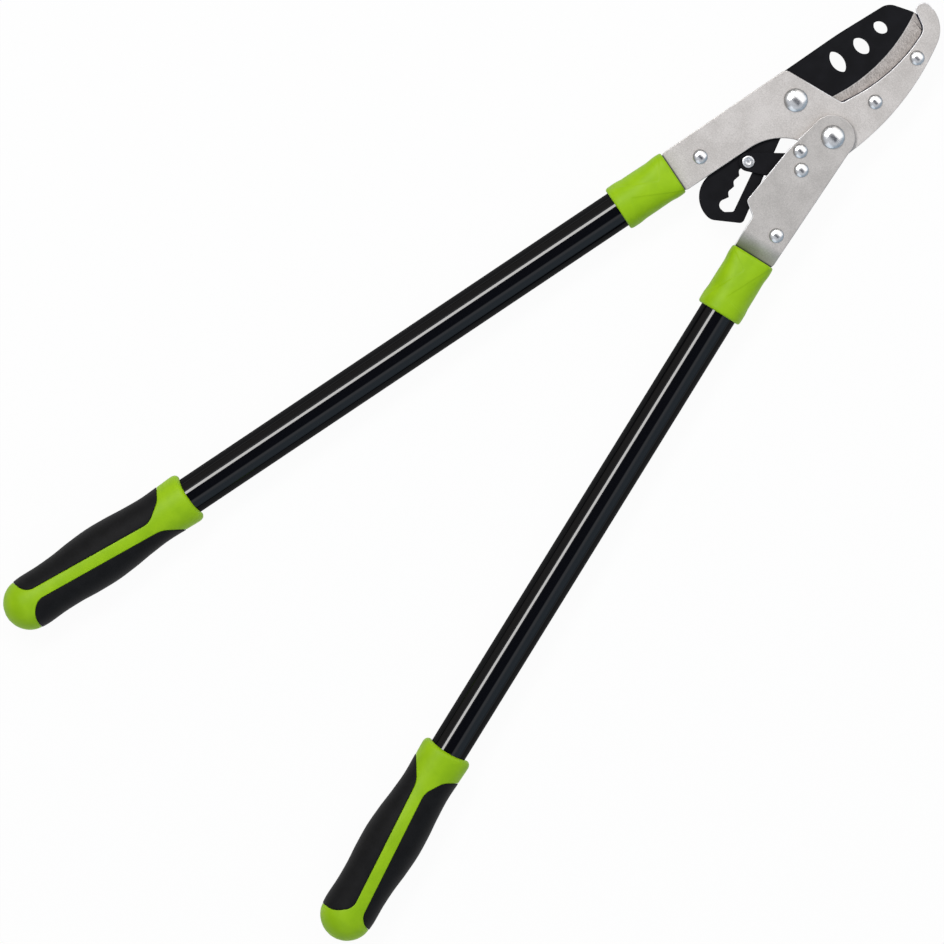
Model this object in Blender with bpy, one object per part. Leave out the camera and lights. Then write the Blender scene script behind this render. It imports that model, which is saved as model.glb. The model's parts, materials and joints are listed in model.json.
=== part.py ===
"""Ratchet anvil lopper, lying flat with its jaws shut.

Sizes are millimetres and are turned into metres as each mesh is made. The drawing frame has
the main pivot at 0, 0 and z = 0 in the middle of the blade's thickness. +Y runs along the
middle of the two handles to the jaws, and +X runs to the moving handle. Each handle has a
frame of its own, with y = -distance along the handle and x across it.
"""
import math

import bpy
import bmesh
from mathutils import Matrix, Vector
from mathutils.geometry import tessellate_polygon

MM = 0.001
GAP = 0.3                       # clearance between pieces that touch on the real tool
CHORD_ERROR = 0.1               # how far a facet may leave the true arc

# Layers, as heights above the middle of the blade
BLADE_HALF = 2.0
PLATE_THICKNESS = 3.0
LINK_THICKNESS = 2.5
INNER_LAYER = BLADE_HALF + GAP                       # anvil plates and link plates
INNER_TOP = INNER_LAYER + PLATE_THICKNESS
OUTER_LAYER = INNER_TOP + GAP                        # lever plates
OUTER_TOP = OUTER_LAYER + PLATE_THICKNESS
LINK_TOP = INNER_LAYER + LINK_THICKNESS

# Pivots and rivets
MAIN_PIVOT = (0.0, 0.0)
BLADE_PIVOT = (-34.0, 0.6)
LINK_PIVOT = (0.2, -29.7)
SPRING_POST = (-8.9, -21.3)
RATCHET_PIN = (-28.3, -49.7)
ANVIL_RIVETS = {"tip": (3.8, 75.2), "heel": (4.0, 35.6)}
LEVER_RIVET = (18.1, -71.7)
ANVIL_TANG_RIVET = (-53.2, -69.1)
LARGE_SHANK, LARGE_HEAD, LARGE_DOME = 4.0, 7.8, 2.6  # radius, radius, height
SMALL_SHANK, SMALL_HEAD, SMALL_DOME = 2.5, 4.8, 1.7
PIN_SHANK, PIN_HEAD, PIN_RISE = 1.5, 3.9, 0.9     # radius, radius, height of a flat head

# Handles
TUBE_RADIUS = 12.5
TUBE_WALL = 1.5
TANG_HALF_WIDTH = 8.9
TANG_REACH = 46.0               # how far a tang reaches past the collar's mouth
COLLAR_LENGTH = 43.0
COLLAR_POCKET = 3.0             # depth of the flat pocket that takes the plates' shoulders
TUBE_START = 5.0                # from the collar's mouth to the end of the tube
PLATE_SHOULDER = 2.0            # from the collar's mouth to the shoulder of the plates
GRIP_LENGTH = 143.6
GRIP_FLATTENING = 0.91          # height of the grip's section over its width
PANEL_DEPTH = 2.2               # thickness of the soft panels
TUBE_IN_GRIP = 124.0            # how far the tube runs inside the grip
SPREAD = math.radians(12.25)    # angle of each handle from -Y, jaws shut


class Handle:
    """One handle's own frame: where it starts, how it leans and where its pieces begin."""

    def __init__(self, foot, turn, outward, collar, grip):
        self.foot = foot
        self.turn = turn
        self.outward = outward      # sign of x on the side away from the other handle
        self.collar = collar        # distance from the foot to the collar's mouth
        self.grip = grip            # distance from the foot to the grip's mouth

    def point(self, distance, side):
        """A point of the handle's frame, in the drawing frame."""
        c, s = math.cos(self.turn), math.sin(self.turn)
        return (self.foot[0] + c * side + s * distance, self.foot[1] + s * side - c * distance)


HANDLE_A = Handle(foot=(-37.7, 8.2), turn=-SPREAD, outward=-1, collar=99.2, grip=477.0)
HANDLE_B = Handle(foot=(-3.0, -0.7), turn=SPREAD, outward=1, collar=93.4, grip=470.5)


# Starting empty

for old in list(bpy.data.objects):
    bpy.data.objects.remove(old, do_unlink=True)


# Materials

def material(name, colour, roughness, metallic):
    made = bpy.data.materials.new(name)
    made.use_nodes = True
    shader = made.node_tree.nodes["Principled BSDF"]
    shader.inputs["Base Color"].default_value = (*colour, 1.0)
    shader.inputs["Roughness"].default_value = roughness
    shader.inputs["Metallic"].default_value = metallic
    return made


PLATE_STEEL = material("satin_plate_steel", (0.56, 0.54, 0.52), 0.42, 1.0)
RIVET_STEEL = material("bright_rivet_steel", (0.75, 0.76, 0.78), 0.18, 1.0)
COATED_STEEL = material("black_coated_steel", (0.012, 0.012, 0.015), 0.45, 0.2)
TUBE_PAINT = material("glossy_black_tube", (0.010, 0.011, 0.014), 0.16, 0.3)
GREEN_PLASTIC = material("lime_green_plastic", (0.29, 0.55, 0.02), 0.38, 0.0)
SOFT_RUBBER = material("soft_black_rubber", (0.016, 0.016, 0.018), 0.72, 0.0)
SPRING_STEEL = material("spring_steel", (0.35, 0.35, 0.36), 0.30, 1.0)
INSERT_ALLOY = material("anvil_alloy", (0.62, 0.58, 0.50), 0.40, 1.0)


# Bodies that move, each an empty on its own pivot

class Carrier:
    """An empty at a pivot of the drawing frame that carries the pieces of one body."""

    def __init__(self, name, at, parent=None):
        self.at = Vector((at[0], at[1], 0.0))
        self.empty = bpy.data.objects.new(name, None)
        self.empty.empty_display_size = 0.02
        bpy.context.scene.collection.objects.link(self.empty)
        if parent is not None:
            self.empty.parent = parent.empty
            self.empty.location = (self.at - parent.at) * MM
        else:
            self.empty.location = self.at * MM


ANVIL_SIDE = Carrier("anvil_side", MAIN_PIVOT)
LEVER_SIDE = Carrier("lever_side", MAIN_PIVOT, ANVIL_SIDE)
BLADE_SIDE = Carrier("blade_side", BLADE_PIVOT, ANVIL_SIDE)
LINK_SIDE = Carrier("link_side", LINK_PIVOT, LEVER_SIDE)


def piece(name, mesh, look, carrier, at, turn=0.0, sharp=35.0):
    """Places a mesh, given around its own origin, at a point of the drawing frame."""
    made = bpy.data.objects.new(name, mesh)
    mesh.materials.append(look)
    mesh.shade_smooth()
    mesh.set_sharp_from_angle(angle=math.radians(sharp))
    bpy.context.scene.collection.objects.link(made)
    made.parent = carrier.empty
    made.location = (Vector((at[0], at[1], 0.0)) - carrier.at) * MM
    made.rotation_euler = (0.0, 0.0, turn)
    return made


def cutter(name, mesh, like):
    """A guide solid in the same place as a piece, which the build leaves out."""
    made = bpy.data.objects.new(name, mesh)
    bpy.context.scene.collection.objects.link(made)
    made.parent = like.parent
    made.location = like.location
    made.rotation_euler = like.rotation_euler
    made.hide_render = True
    made.display_type = "WIRE"
    return made


def cut(target, tool, operation="DIFFERENCE"):
    step = target.modifiers.new(tool.name, "BOOLEAN")
    step.operation = operation
    step.solver = "EXACT"
    step.object = tool


# Outlines

def arc_steps(radius, turn):
    """How many chords keep an arc within the chord error."""
    widest = 2.0 * math.acos(max(0.9, 1.0 - CHORD_ERROR / max(radius, CHORD_ERROR)))
    return max(1, math.ceil(abs(turn) / widest - 1e-6))


def rounded(corners):
    """A closed outline from corners (x, y, radius) or (x, y, radius, chords of the arc)."""
    points = []
    for index, corner in enumerate(corners):
        here = Vector(corner[:2])
        radius = corner[2]
        back = Vector(corners[index - 1][:2]) - here
        ahead = Vector(corners[(index + 1) % len(corners)][:2]) - here
        if radius == 0.0:
            points.append(tuple(here))
            continue
        back.normalize()
        ahead.normalize()
        between = back.angle(ahead)
        turn = math.pi - between
        steps = corner[3] if len(corner) > 3 else arc_steps(radius, turn)
        centre = here + (back + ahead).normalized() * radius / math.sin(between / 2)
        start = here + back * radius / math.tan(between / 2)
        sign = 1.0 if back.cross(ahead) < 0.0 else -1.0
        spoke = start - centre
        for step in range(steps + 1):
            angle = sign * turn * step / steps
            c, s = math.cos(angle), math.sin(angle)
            points.append((centre.x + c * spoke.x - s * spoke.y,
                           centre.y + s * spoke.x + c * spoke.y))
    return points


def circle(at, radius, count=24):
    return [(at[0] + radius * math.cos(2 * math.pi * k / count),
             at[1] + radius * math.sin(2 * math.pi * k / count)) for k in range(count)]


def lens(at, length, width, turn, count=8):
    """Halfway between an ellipse and two arcs that meet in points, its long axis turned from +X."""
    half, rise = length / 2, width / 2
    radius = (half * half + rise * rise) / (2 * rise)
    c, s = math.cos(turn), math.sin(turn)
    points = []
    for k in range(2 * count):
        angle = math.pi * k / count
        x = half * math.cos(angle)
        arc = math.sqrt(radius * radius - x * x) - radius + rise
        y = 0.5 * (math.copysign(arc, math.sin(angle)) + rise * math.sin(angle))
        points.append((at[0] + c * x - s * y, at[1] + s * x + c * y))
    return points


# Solids

def new_mesh(name, vertices, faces):
    """A mesh in metres from millimetre points, with its faces turned outwards."""
    mesh = bpy.data.meshes.new(name)
    mesh.from_pydata([Vector(v) * MM for v in vertices], [], faces)
    shell = bmesh.new()
    shell.from_mesh(mesh)
    bmesh.ops.recalc_face_normals(shell, faces=shell.faces)
    shell.to_mesh(mesh)
    shell.free()
    return mesh


def stacked(name, levels, holes=(), at=(0.0, 0.0)):
    """A plate from outlines of equal count at rising heights, with straight holes through it."""
    vertices, faces = [], []
    count = len(levels[0][1])
    for height, outline in levels:
        vertices += [(x - at[0], y - at[1], height) for x, y in outline]
    for level in range(len(levels) - 1):
        for k in range(count):
            low, high = level * count, (level + 1) * count
            faces.append((low + k, low + (k + 1) % count, high + (k + 1) % count, high + k))
    top = (len(levels) - 1) * count
    loops = ([list(range(count))], [list(range(top, top + count))])
    for hole in holes:
        start = len(vertices)
        for height in (levels[0][0], levels[-1][0]):
            vertices += [(x - at[0], y - at[1], height) for x, y in hole]
        n = len(hole)
        for k in range(n):
            low, high = start + k, start + (k + 1) % n
            faces.append((low, high, high + n, low + n))
        loops[0].append(list(range(start, start + n)))
        loops[1].append(list(range(start + n, start + 2 * n)))
    for rims in loops:
        flat = [[Vector(vertices[v][:2]).to_3d() for v in rim] for rim in rims]
        order = [v for rim in rims for v in rim]
        faces += [tuple(order[v] for v in triangle) for triangle in tessellate_polygon(flat)]
    return new_mesh(name, vertices, faces)


def turned(name, profile, count=20):
    """A solid of revolution about Z from (radius, height) points, closed at both ends."""
    vertices, faces, rings = [], [], []
    for radius, height in profile:
        if radius == 0.0:
            rings.append([len(vertices)])
            vertices.append((0.0, 0.0, height))
        else:
            rings.append(list(range(len(vertices), len(vertices) + count)))
            vertices += [(x, y, height) for x, y in circle((0.0, 0.0), radius, count)]
    for low, high in zip(rings, rings[1:]):
        for k in range(count):
            corners = [low[k % len(low)], low[(k + 1) % len(low)],
                       high[(k + 1) % len(high)], high[k % len(high)]]
            faces.append(tuple(dict.fromkeys(corners)))
    return new_mesh(name, vertices, faces)


def sleeve(name, outer, inner, low, high, count=20):
    """A plain ring, as a spacer or a bush."""
    levels = [(low, circle((0.0, 0.0), outer, count)), (high, circle((0.0, 0.0), outer, count))]
    return stacked(name, levels, [circle((0.0, 0.0), inner, count)])


def loft(name, rings, closed=False):
    """A skin over rings of equal count. Closed joins the last ring to the first, as in a tube."""
    vertices = [v for ring in rings for v in ring]
    count = len(rings[0])
    faces = []
    last = len(rings) if closed else len(rings) - 1
    for level in range(last):
        low, high = level * count, ((level + 1) % len(rings)) * count
        for k in range(count):
            after = (k + 1) % count
            faces.append((low + k, low + after, high + after, high + k))
    if not closed:
        faces.append(tuple(range(count)))
        faces.append(tuple(range((len(rings) - 1) * count, len(rings) * count)))
    return new_mesh(name, vertices, faces)


def section(distance, half_width, half_height, power=2.0, count=24, scoop=0.0):
    """One ring across a handle: a circle, an ellipse or, at a higher power, a rounded block."""
    ring = []
    for k in range(count):
        angle = 2 * math.pi * k / count
        c, s = math.cos(angle), math.sin(angle)
        x = half_width * math.copysign(abs(c) ** (2 / power), c)
        z = half_height * math.copysign(abs(s) ** (2 / power), s)
        ring.append((x, -distance - scoop * abs(s) ** 1.5, z))
    return ring


def mirrored_pair(make):
    """Makes the front piece of a pair and then the rear one."""
    make("front", 1)
    make("rear", -1)


# Anvil plates: tang, body and hooked jaw in one piece

def tang_corners(handle, inner, outer):
    """The shoulders of the plates in the collar's mouth and the tang that goes down the tube."""
    shoulder = handle.collar + PLATE_SHOULDER
    end = handle.collar + TANG_REACH
    tang = TANG_HALF_WIDTH
    sides = [(shoulder, -outer, 5.0), (shoulder, -tang, 1.0), (end, -tang, 2.0),
             (end, tang, 2.0), (shoulder, tang, 1.0), (shoulder, inner, 5.0)]
    return [(*handle.point(distance, side), radius) for distance, side, radius in sides]


ANVIL_OUTLINE = rounded([
    *tang_corners(HANDLE_A, inner=14.5, outer=14.2),
    (-27.4, -12.4, 38.4),       # hollow that the link swings in
    (13.4, -12.4, 12.4),        # hub round the main pivot
    (21.9, 48.3, 176.7),        # back of the jaw
    (0.4, 106.4, 23.7),         # back of the hook
    (-20.5, 105.6, 4.4),        # point of the hook
    (-20.3, 97.0, 3.6),
    (-5.3, 91.5, 8.0),          # throat of the hook
    (1.1, 58.5, 113.9),         # anvil side of the jaw
    (-10.9, 20.4, 3.0),
    (-52.6, 10.5, 5.0),
])

PIN_HOLE = 2.0 + GAP
COLLAR_PIN_AT = 19.0            # from the collar's mouth to the hidden cross pin


def collar_pin_point(handle):
    return handle.point(handle.collar + COLLAR_PIN_AT, 0.0)


def anvil_plate(which, side):
    low, high = sorted((side * INNER_LAYER, side * INNER_TOP))
    holes = [circle(at, SMALL_SHANK + GAP, 14) for at in ANVIL_RIVETS.values()]
    holes += [circle(at, LARGE_SHANK + GAP, 20) for at in (MAIN_PIVOT, BLADE_PIVOT)]
    holes += [circle(ANVIL_TANG_RIVET, SMALL_SHANK + GAP, 14)]
    holes += [circle(collar_pin_point(HANDLE_A), PIN_HOLE, 12)]
    mesh = stacked(f"anvil_plate_{which}", [(low, ANVIL_OUTLINE), (high, ANVIL_OUTLINE)], holes)
    piece(f"anvil_plate_{which}", mesh, PLATE_STEEL, ANVIL_SIDE, MAIN_PIVOT, sharp=25.0)


mirrored_pair(anvil_plate)


# Anvil insert: the soft bar between the plates that the edge lands on

ANVIL_CENTRE = (-116.1, 64.6)
EDGE_RADIUS = 115.9             # the blade's cutting edge, 2 mm past the plates' edge
INSERT_HEEL_WIDTH, INSERT_TIP_WIDTH = 11.6, 7.3


def around_anvil(radius, degrees):
    angle = math.radians(degrees)
    return (ANVIL_CENTRE[0] + radius * math.cos(angle), ANVIL_CENTRE[1] + radius * math.sin(angle))


def anvil_insert():
    """It grows narrower towards the tip, so that it stays inside the back of the jaw."""
    face = EDGE_RADIUS + GAP + 0.1
    first, last, steps = -16.0, 12.0, 8
    shares = [k / steps for k in range(steps + 1)]
    outline = [around_anvil(face, first + (last - first) * share) for share in shares]
    for share in reversed(shares):
        width = INSERT_HEEL_WIDTH + (INSERT_TIP_WIDTH - INSERT_HEEL_WIDTH) * share
        outline.append(around_anvil(face + width, first + (last - first) * share))
    holes = [circle(at, SMALL_SHANK + GAP, 14) for at in ANVIL_RIVETS.values()]
    mesh = stacked("anvil_insert", [(-BLADE_HALF, outline), (BLADE_HALF, outline)], holes)
    piece("anvil_insert", mesh, INSERT_ALLOY, ANVIL_SIDE, MAIN_PIVOT)


anvil_insert()


# Rivets: a straight shank with a dome at each end

def rivet(name, at, carrier, base, shank, head, dome, count=20):
    """The heads stand on the plates' outer faces, at plus and minus base."""
    side = []
    foot = base + GAP
    curve = 3
    side.append((shank, 0.0))
    side.append((shank, foot))
    side.append((head, foot))
    side.append((head, foot + 0.25 * dome))
    for k in range(1, curve):
        angle = math.pi / 2 * k / curve
        side.append((head * math.cos(angle), foot + dome * (0.25 + 0.75 * math.sin(angle))))
    side.append((0.0, foot + dome))
    profile = [(r, -z) for r, z in reversed(side[1:])] + side[1:]
    piece(name, turned(name, profile, count), RIVET_STEEL, carrier, at)


rivet("main_pivot_rivet", MAIN_PIVOT, ANVIL_SIDE, OUTER_TOP, LARGE_SHANK, LARGE_HEAD, LARGE_DOME)
rivet("blade_pivot_rivet", BLADE_PIVOT, ANVIL_SIDE, INNER_TOP, LARGE_SHANK, LARGE_HEAD, LARGE_DOME)
for end, place in ANVIL_RIVETS.items():
    rivet(f"anvil_rivet_{end}", place, ANVIL_SIDE, INNER_TOP, SMALL_SHANK, SMALL_HEAD, SMALL_DOME, 16)
rivet("anvil_tang_rivet", ANVIL_TANG_RIVET, ANVIL_SIDE, INNER_TOP,
      SMALL_SHANK, SMALL_HEAD, SMALL_DOME, 16)
rivet("lever_rivet", LEVER_RIVET, LEVER_SIDE, OUTER_TOP, SMALL_SHANK, SMALL_HEAD, SMALL_DOME, 16)
rivet("link_pivot_rivet", LINK_PIVOT, LEVER_SIDE, OUTER_TOP, SMALL_SHANK, SMALL_HEAD, SMALL_DOME, 16)
rivet("spring_post_rivet", SPRING_POST, LEVER_SIDE, OUTER_TOP, SMALL_SHANK, SMALL_HEAD, SMALL_DOME, 16)


# Spacers that keep the layers apart

def spacers():
    half = BLADE_HALF
    mesh = sleeve("main_pivot_spacer", 7.4, LARGE_SHANK + GAP, -half, half)
    piece("main_pivot_spacer", mesh, SPRING_STEEL, ANVIL_SIDE, MAIN_PIVOT)
    half = OUTER_LAYER - GAP
    mesh = sleeve("lever_rivet_spacer", 5.0, SMALL_SHANK + GAP, -half, half, 16)
    piece("lever_rivet_spacer", mesh, SPRING_STEEL, LEVER_SIDE, LEVER_RIVET)
    half = BLADE_HALF
    mesh = sleeve("link_pivot_spacer", 4.6, SMALL_SHANK + GAP, -half, half, 16)
    piece("link_pivot_spacer", mesh, SPRING_STEEL, LEVER_SIDE, LINK_PIVOT)


spacers()


# Tang spacers: the flat bar between the two tangs of a handle

def tang_spacer(name, handle, carrier, start, rivets):
    end = handle.collar + TANG_REACH
    half = TANG_HALF_WIDTH - 0.4
    corners = [(start, -half, 3.0), (end, -half, 2.0), (end, half, 2.0), (start, half, 3.0)]
    outline = rounded([(*handle.point(d, side), r) for d, side, r in corners])
    holes = [circle(at, SMALL_SHANK + GAP, 14) for at in rivets]
    holes += [circle(collar_pin_point(handle), PIN_HOLE, 12)]
    mesh = stacked(name, [(-BLADE_HALF, outline), (BLADE_HALF, outline)], holes)
    piece(name, mesh, SPRING_STEEL, carrier, MAIN_PIVOT)


tang_spacer("anvil_tang_spacer", HANDLE_A, ANVIL_SIDE, 70.0, [ANVIL_TANG_RIVET])
tang_spacer("lever_tang_spacer", HANDLE_B, LEVER_SIDE, 92.0, [])


# Lever plates: the eye on the main pivot, the broad arm and the stepped tang

JOGGLE_START, JOGGLE_END, JOGGLE_STEPS = 81.0, 91.0, 4

LEVER_OUTLINE = rounded([
    (-14.2, 14.1, 14.1),        # eye round the main pivot
    (-15.2, -24.0, 60.0),
    (-11.7, -68.6, 3.2),
    (-1.5, -73.2, 3.0),
    *tang_corners(HANDLE_B, inner=14.2, outer=14.4),
    (15.9, -18.0, 90.0),
    (14.3, 14.1, 14.1),
])


def joggle(distance):
    """How far the plate has stepped inwards at a distance along the handle, from 0 to 1."""
    t = min(1.0, max(0.0, (distance - JOGGLE_START) / (JOGGLE_END - JOGGLE_START)))
    return t * t * (3.0 - 2.0 * t)


def step_inwards(mesh, handle, side):
    """Cuts a flat plate across the bend and moves it towards the middle past the bend."""
    along = Vector((math.sin(handle.turn), -math.cos(handle.turn), 0.0))
    foot = Vector((handle.foot[0], handle.foot[1], 0.0)) * MM
    shell = bmesh.new()
    shell.from_mesh(mesh)
    for k in range(JOGGLE_STEPS + 1):
        reach = JOGGLE_START + (JOGGLE_END - JOGGLE_START) * k / JOGGLE_STEPS
        bmesh.ops.bisect_plane(shell, geom=shell.verts[:] + shell.edges[:] + shell.faces[:],
                               plane_co=foot + along * reach * MM, plane_no=along, dist=1e-7)
    for vertex in shell.verts:
        reach = (vertex.co - foot).dot(along) / MM
        vertex.co.z -= side * joggle(reach) * (OUTER_LAYER - INNER_LAYER) * MM
    bmesh.ops.triangulate(shell, faces=shell.faces[:])
    shell.to_mesh(mesh)
    shell.free()


def lever_plate(which, side):
    low, high = sorted((side * OUTER_LAYER, side * OUTER_TOP))
    holes = [circle(MAIN_PIVOT, LARGE_SHANK + GAP, 20)]
    holes += [circle(at, SMALL_SHANK + GAP, 14) for at in (LINK_PIVOT, SPRING_POST, LEVER_RIVET)]
    holes += [circle(collar_pin_point(HANDLE_B), PIN_HOLE, 12)]
    mesh = stacked(f"lever_plate_{which}", [(low, LEVER_OUTLINE), (high, LEVER_OUTLINE)], holes)
    step_inwards(mesh, HANDLE_B, side)
    piece(f"lever_plate_{which}", mesh, PLATE_STEEL, LEVER_SIDE, MAIN_PIVOT, sharp=25.0)


mirrored_pair(lever_plate)


# Blade: pierced, hollow ground on both sides, with its ratchet tail in the same plate

EDGE_HALF = 0.15                # half the thickness left at the cutting edge

BLADE_BACK = [
    (-34.6, 87.8, 11.0, 5),     # nose
    (-44.3, 50.0, 200.0, 1),    # spine
    (-53.6, 3.5, 5.0, 3),
    (-46.0, -16.0, 15.0, 2),
    (-43.5, -45.0, 60.0, 1),
    (-39.2, -93.9, 18.2, 8),    # round foot of the tail
    (-19.8, -93.9, 8.0, 3),
    (-3.1, -81.0, 3.2, 5),
    (-24.4, -22.7, 12.0, 3),
    (-20.5, -5.0, 0.0),
]
CUTTING_EDGE = [(-8.0, 21.2, 3.0, 2), (3.95, 59.86, EDGE_RADIUS, 10), (-5.3, 100.0, 9.0, 4)]
GRIND_LINE = [(-21.6, 16.1, 2.0, 2), (-5.5, 57.0, 114.9, 10), (-16.9, 96.0, 1.5, 4)]

LENS_HOLES = [((-31.6, 37.6), 15.6, 8.5, math.radians(-11.0)),
              ((-27.7, 55.7), 13.0, 8.5, math.radians(-1.0)),
              ((-27.1, 73.0), 10.6, 8.2, math.radians(9.0))]

TOOTH_COUNT = 4
FIRST_TOOTH = (-28.5, -52.9)    # the tooth that the pin sits on with the jaws shut
TOOTH_PITCH = (2.35, -7.4)      # from one tooth's point to the next, away from the pivot


def ratchet_slot():
    """The slot in the tail: teeth down one side, a round foot and a straight back."""
    corners = [(-24.2, -45.6, 2.4), (-31.8, -45.6, 2.4), (-31.4, -51.6, 1.0)]
    for tooth in range(TOOTH_COUNT):
        x = FIRST_TOOTH[0] + tooth * TOOTH_PITCH[0]
        y = FIRST_TOOTH[1] + tooth * TOOTH_PITCH[1]
        corners.append((x, y, 0.3))
        if tooth < TOOTH_COUNT - 1:
            corners.append((x - 0.5, y - 5.1, 2.4, 3))
    corners += [(-25.2, -84.2, 3.7), (-17.1, -84.2, 2.5), (-12.7, -79.8, 2.0)]
    return rounded(corners)


def blade():
    flank = rounded(GRIND_LINE + BLADE_BACK)
    edge = rounded(CUTTING_EDGE + BLADE_BACK)
    levels = [(-BLADE_HALF, flank), (-EDGE_HALF, edge), (EDGE_HALF, edge), (BLADE_HALF, flank)]
    holes = [lens(*hole) for hole in LENS_HOLES]
    holes += [circle(BLADE_PIVOT, LARGE_SHANK + GAP, 20), ratchet_slot()]
    mesh = stacked("blade", levels, holes, at=BLADE_PIVOT)
    piece("blade", mesh, COATED_STEEL, BLADE_SIDE, BLADE_PIVOT, sharp=12.0)


blade()


# Link: two plates on the ratchet pin, hung between the lever plates

# Distance from the link pivot towards the ratchet pin, distance across towards the anvil side
LINK_CORNERS = [
    (-8.6, -9.0, 8.5),          # round end about the link pivot
    (41.0, -5.8, 6.0),          # round end about the ratchet pin
    (41.0, 5.3, 6.0),
    (10.6, 9.5, 1.5),           # shoulder
    (6.6, 7.6, 3.0),            # hollow that clears the spring's post
    (-8.6, 8.0, 7.9),
]


def link_outline():
    run = (Vector(RATCHET_PIN) - Vector(LINK_PIVOT)).normalized()
    return rounded([(LINK_PIVOT[0] + along * run.x + across * run.y,
                     LINK_PIVOT[1] + along * run.y - across * run.x, radius)
                    for along, across, radius in LINK_CORNERS])


def link_plate(which, side):
    low, high = sorted((side * INNER_LAYER, side * LINK_TOP))
    outline = link_outline()
    holes = [circle(RATCHET_PIN, PIN_SHANK + GAP, 12), circle(LINK_PIVOT, SMALL_SHANK + GAP, 14)]
    mesh = stacked(f"link_plate_{which}", [(low, outline), (high, outline)], holes, at=LINK_PIVOT)
    piece(f"link_plate_{which}", mesh, COATED_STEEL, LINK_SIDE, LINK_PIVOT)


mirrored_pair(link_plate)


def ratchet_pin():
    """A straight pin with a flat, dished head on each link plate."""
    foot = LINK_TOP + GAP
    top = foot + PIN_RISE
    side = [(PIN_SHANK, foot), (PIN_HEAD, foot), (PIN_HEAD, top - 0.25), (PIN_HEAD - 0.3, top),
            (PIN_HEAD * 0.62, top), (PIN_HEAD * 0.5, top - 0.4), (0.0, top - 0.4)]
    profile = [(r, -z) for r, z in reversed(side)] + side
    piece("ratchet_pin", turned("ratchet_pin", profile, 14), RIVET_STEEL, LINK_SIDE, RATCHET_PIN)


ratchet_pin()


# Spring on the post, which holds the link's pin in the teeth

def link_spring():
    wire, coil, per_turn, chords = 0.9, 3.9, 9, 21
    pitch = wire + 0.45
    first, rise = math.radians(183.0), pitch * chords / per_turn
    points = [(-4.3, -9.7, -rise / 2)]
    for k in range(chords + 1):
        angle = first - 2 * math.pi * k / per_turn
        points.append((coil * math.cos(angle), coil * math.sin(angle), pitch * k / per_turn - rise / 2))
    points += [(7.4, 0.3, rise / 2), (8.2, -1.8, rise / 2)]
    curve = bpy.data.curves.new("link_spring", "CURVE")
    curve.dimensions = "3D"
    curve.bevel_depth = wire / 2 * MM
    curve.bevel_resolution = 1
    curve.use_fill_caps = True
    spline = curve.splines.new("POLY")
    spline.points.add(len(points) - 1)
    for target, point in zip(spline.points, points):
        target.co = (*(Vector(point) * MM), 1.0)
    curve.materials.append(SPRING_STEEL)
    made = bpy.data.objects.new("link_spring", curve)
    bpy.context.scene.collection.objects.link(made)
    made.parent = LEVER_SIDE.empty
    made.location = Vector((*SPRING_POST, 0.0)) * MM


link_spring()


# Handle tubes, collars and the hidden cross pins

TUBE_SIDES = 28

# Distance from the mouth, half width, half height and the power of the section
COLLAR_PROFILE = [(0.0, 14.5, 11.6, 3.4), (1.0, 15.3, 12.6, 3.4), (5.0, 15.6, 13.1, 3.2),
                  (12.0, 15.2, 14.0, 2.6), (24.0, 15.2, 15.0, 2.1), (36.0, 15.6, 15.5, 2.0),
                  (COLLAR_LENGTH - 1.0, 15.8, 15.8, 2.0), (COLLAR_LENGTH, 15.1, 15.1, 2.0)]


def handle_tube(name, handle, carrier):
    start = handle.collar + TUBE_START
    end = handle.grip + TUBE_IN_GRIP
    inner = TUBE_RADIUS - TUBE_WALL
    walls = [(start, TUBE_RADIUS), (end, TUBE_RADIUS), (end, inner), (start, inner)]
    rings = [section(distance, radius, radius, count=TUBE_SIDES) for distance, radius in walls]
    made = piece(name, loft(name, rings, closed=True), TUBE_PAINT, carrier, handle.foot, handle.turn)
    drill = turned(f"{name}_drill", [(0, -15), (PIN_HOLE, -15), (PIN_HOLE, 15), (0, 15)], 12)
    drill.transform(Matrix.Translation((0.0, -(handle.collar + COLLAR_PIN_AT) * MM, 0.0)))
    cut(made, cutter(f"{name}_drill", drill, made))


def collar(name, handle, carrier):
    """A moulded sleeve: a flat block at the plates that turns round as it meets the tube."""
    bore = TUBE_RADIUS + GAP
    pocket = (14.2, INNER_TOP + 2.2, 6.0)
    inside = [(COLLAR_LENGTH, bore, bore, 2.0), (TUBE_START, bore, bore, 2.0),
              (COLLAR_POCKET, *pocket), (0.0, *pocket)]
    rings = [section(handle.collar + distance, width, height, power, count=TUBE_SIDES)
             for distance, width, height, power in COLLAR_PROFILE + inside]
    piece(name, loft(name, rings, closed=True), GREEN_PLASTIC, carrier, handle.foot, handle.turn)


def collar_pin(name, handle, carrier):
    half = TUBE_RADIUS - GAP
    radius, chamfer = 2.0, 0.4
    side = [(radius, half - chamfer), (radius - chamfer, half), (0.0, half)]
    profile = [(r, -z) for r, z in reversed(side)] + side
    piece(name, turned(name, profile, 12), SPRING_STEEL, carrier, collar_pin_point(handle))


# Grips: a green core with two soft black panels let into it

# Distance from the grip's mouth and half width
GRIP_PROFILE = [(0.0, 14.6), (1.0, 16.5), (4.0, 17.5), (12.0, 17.2), (27.0, 16.6), (42.0, 17.5),
                (56.0, 18.9), (70.0, 19.6), (84.0, 19.0), (98.0, 17.8), (109.0, 17.5), (122.0, 17.9),
                (130.0, 17.3), (135.0, 15.5), (139.5, 12.0), (142.5, 7.0), (GRIP_LENGTH, 2.4)]
MOUTH_SCOOP = 2.2               # how far the mouth is hollowed at the front and the rear
BAND_HALF = 4.3                 # half the width of the green band between the panels
BAND_START = (39.0, 4.4)        # the band's middle: distance from the mouth, offset inwards
BAND_END = (113.0, -2.0)


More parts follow.
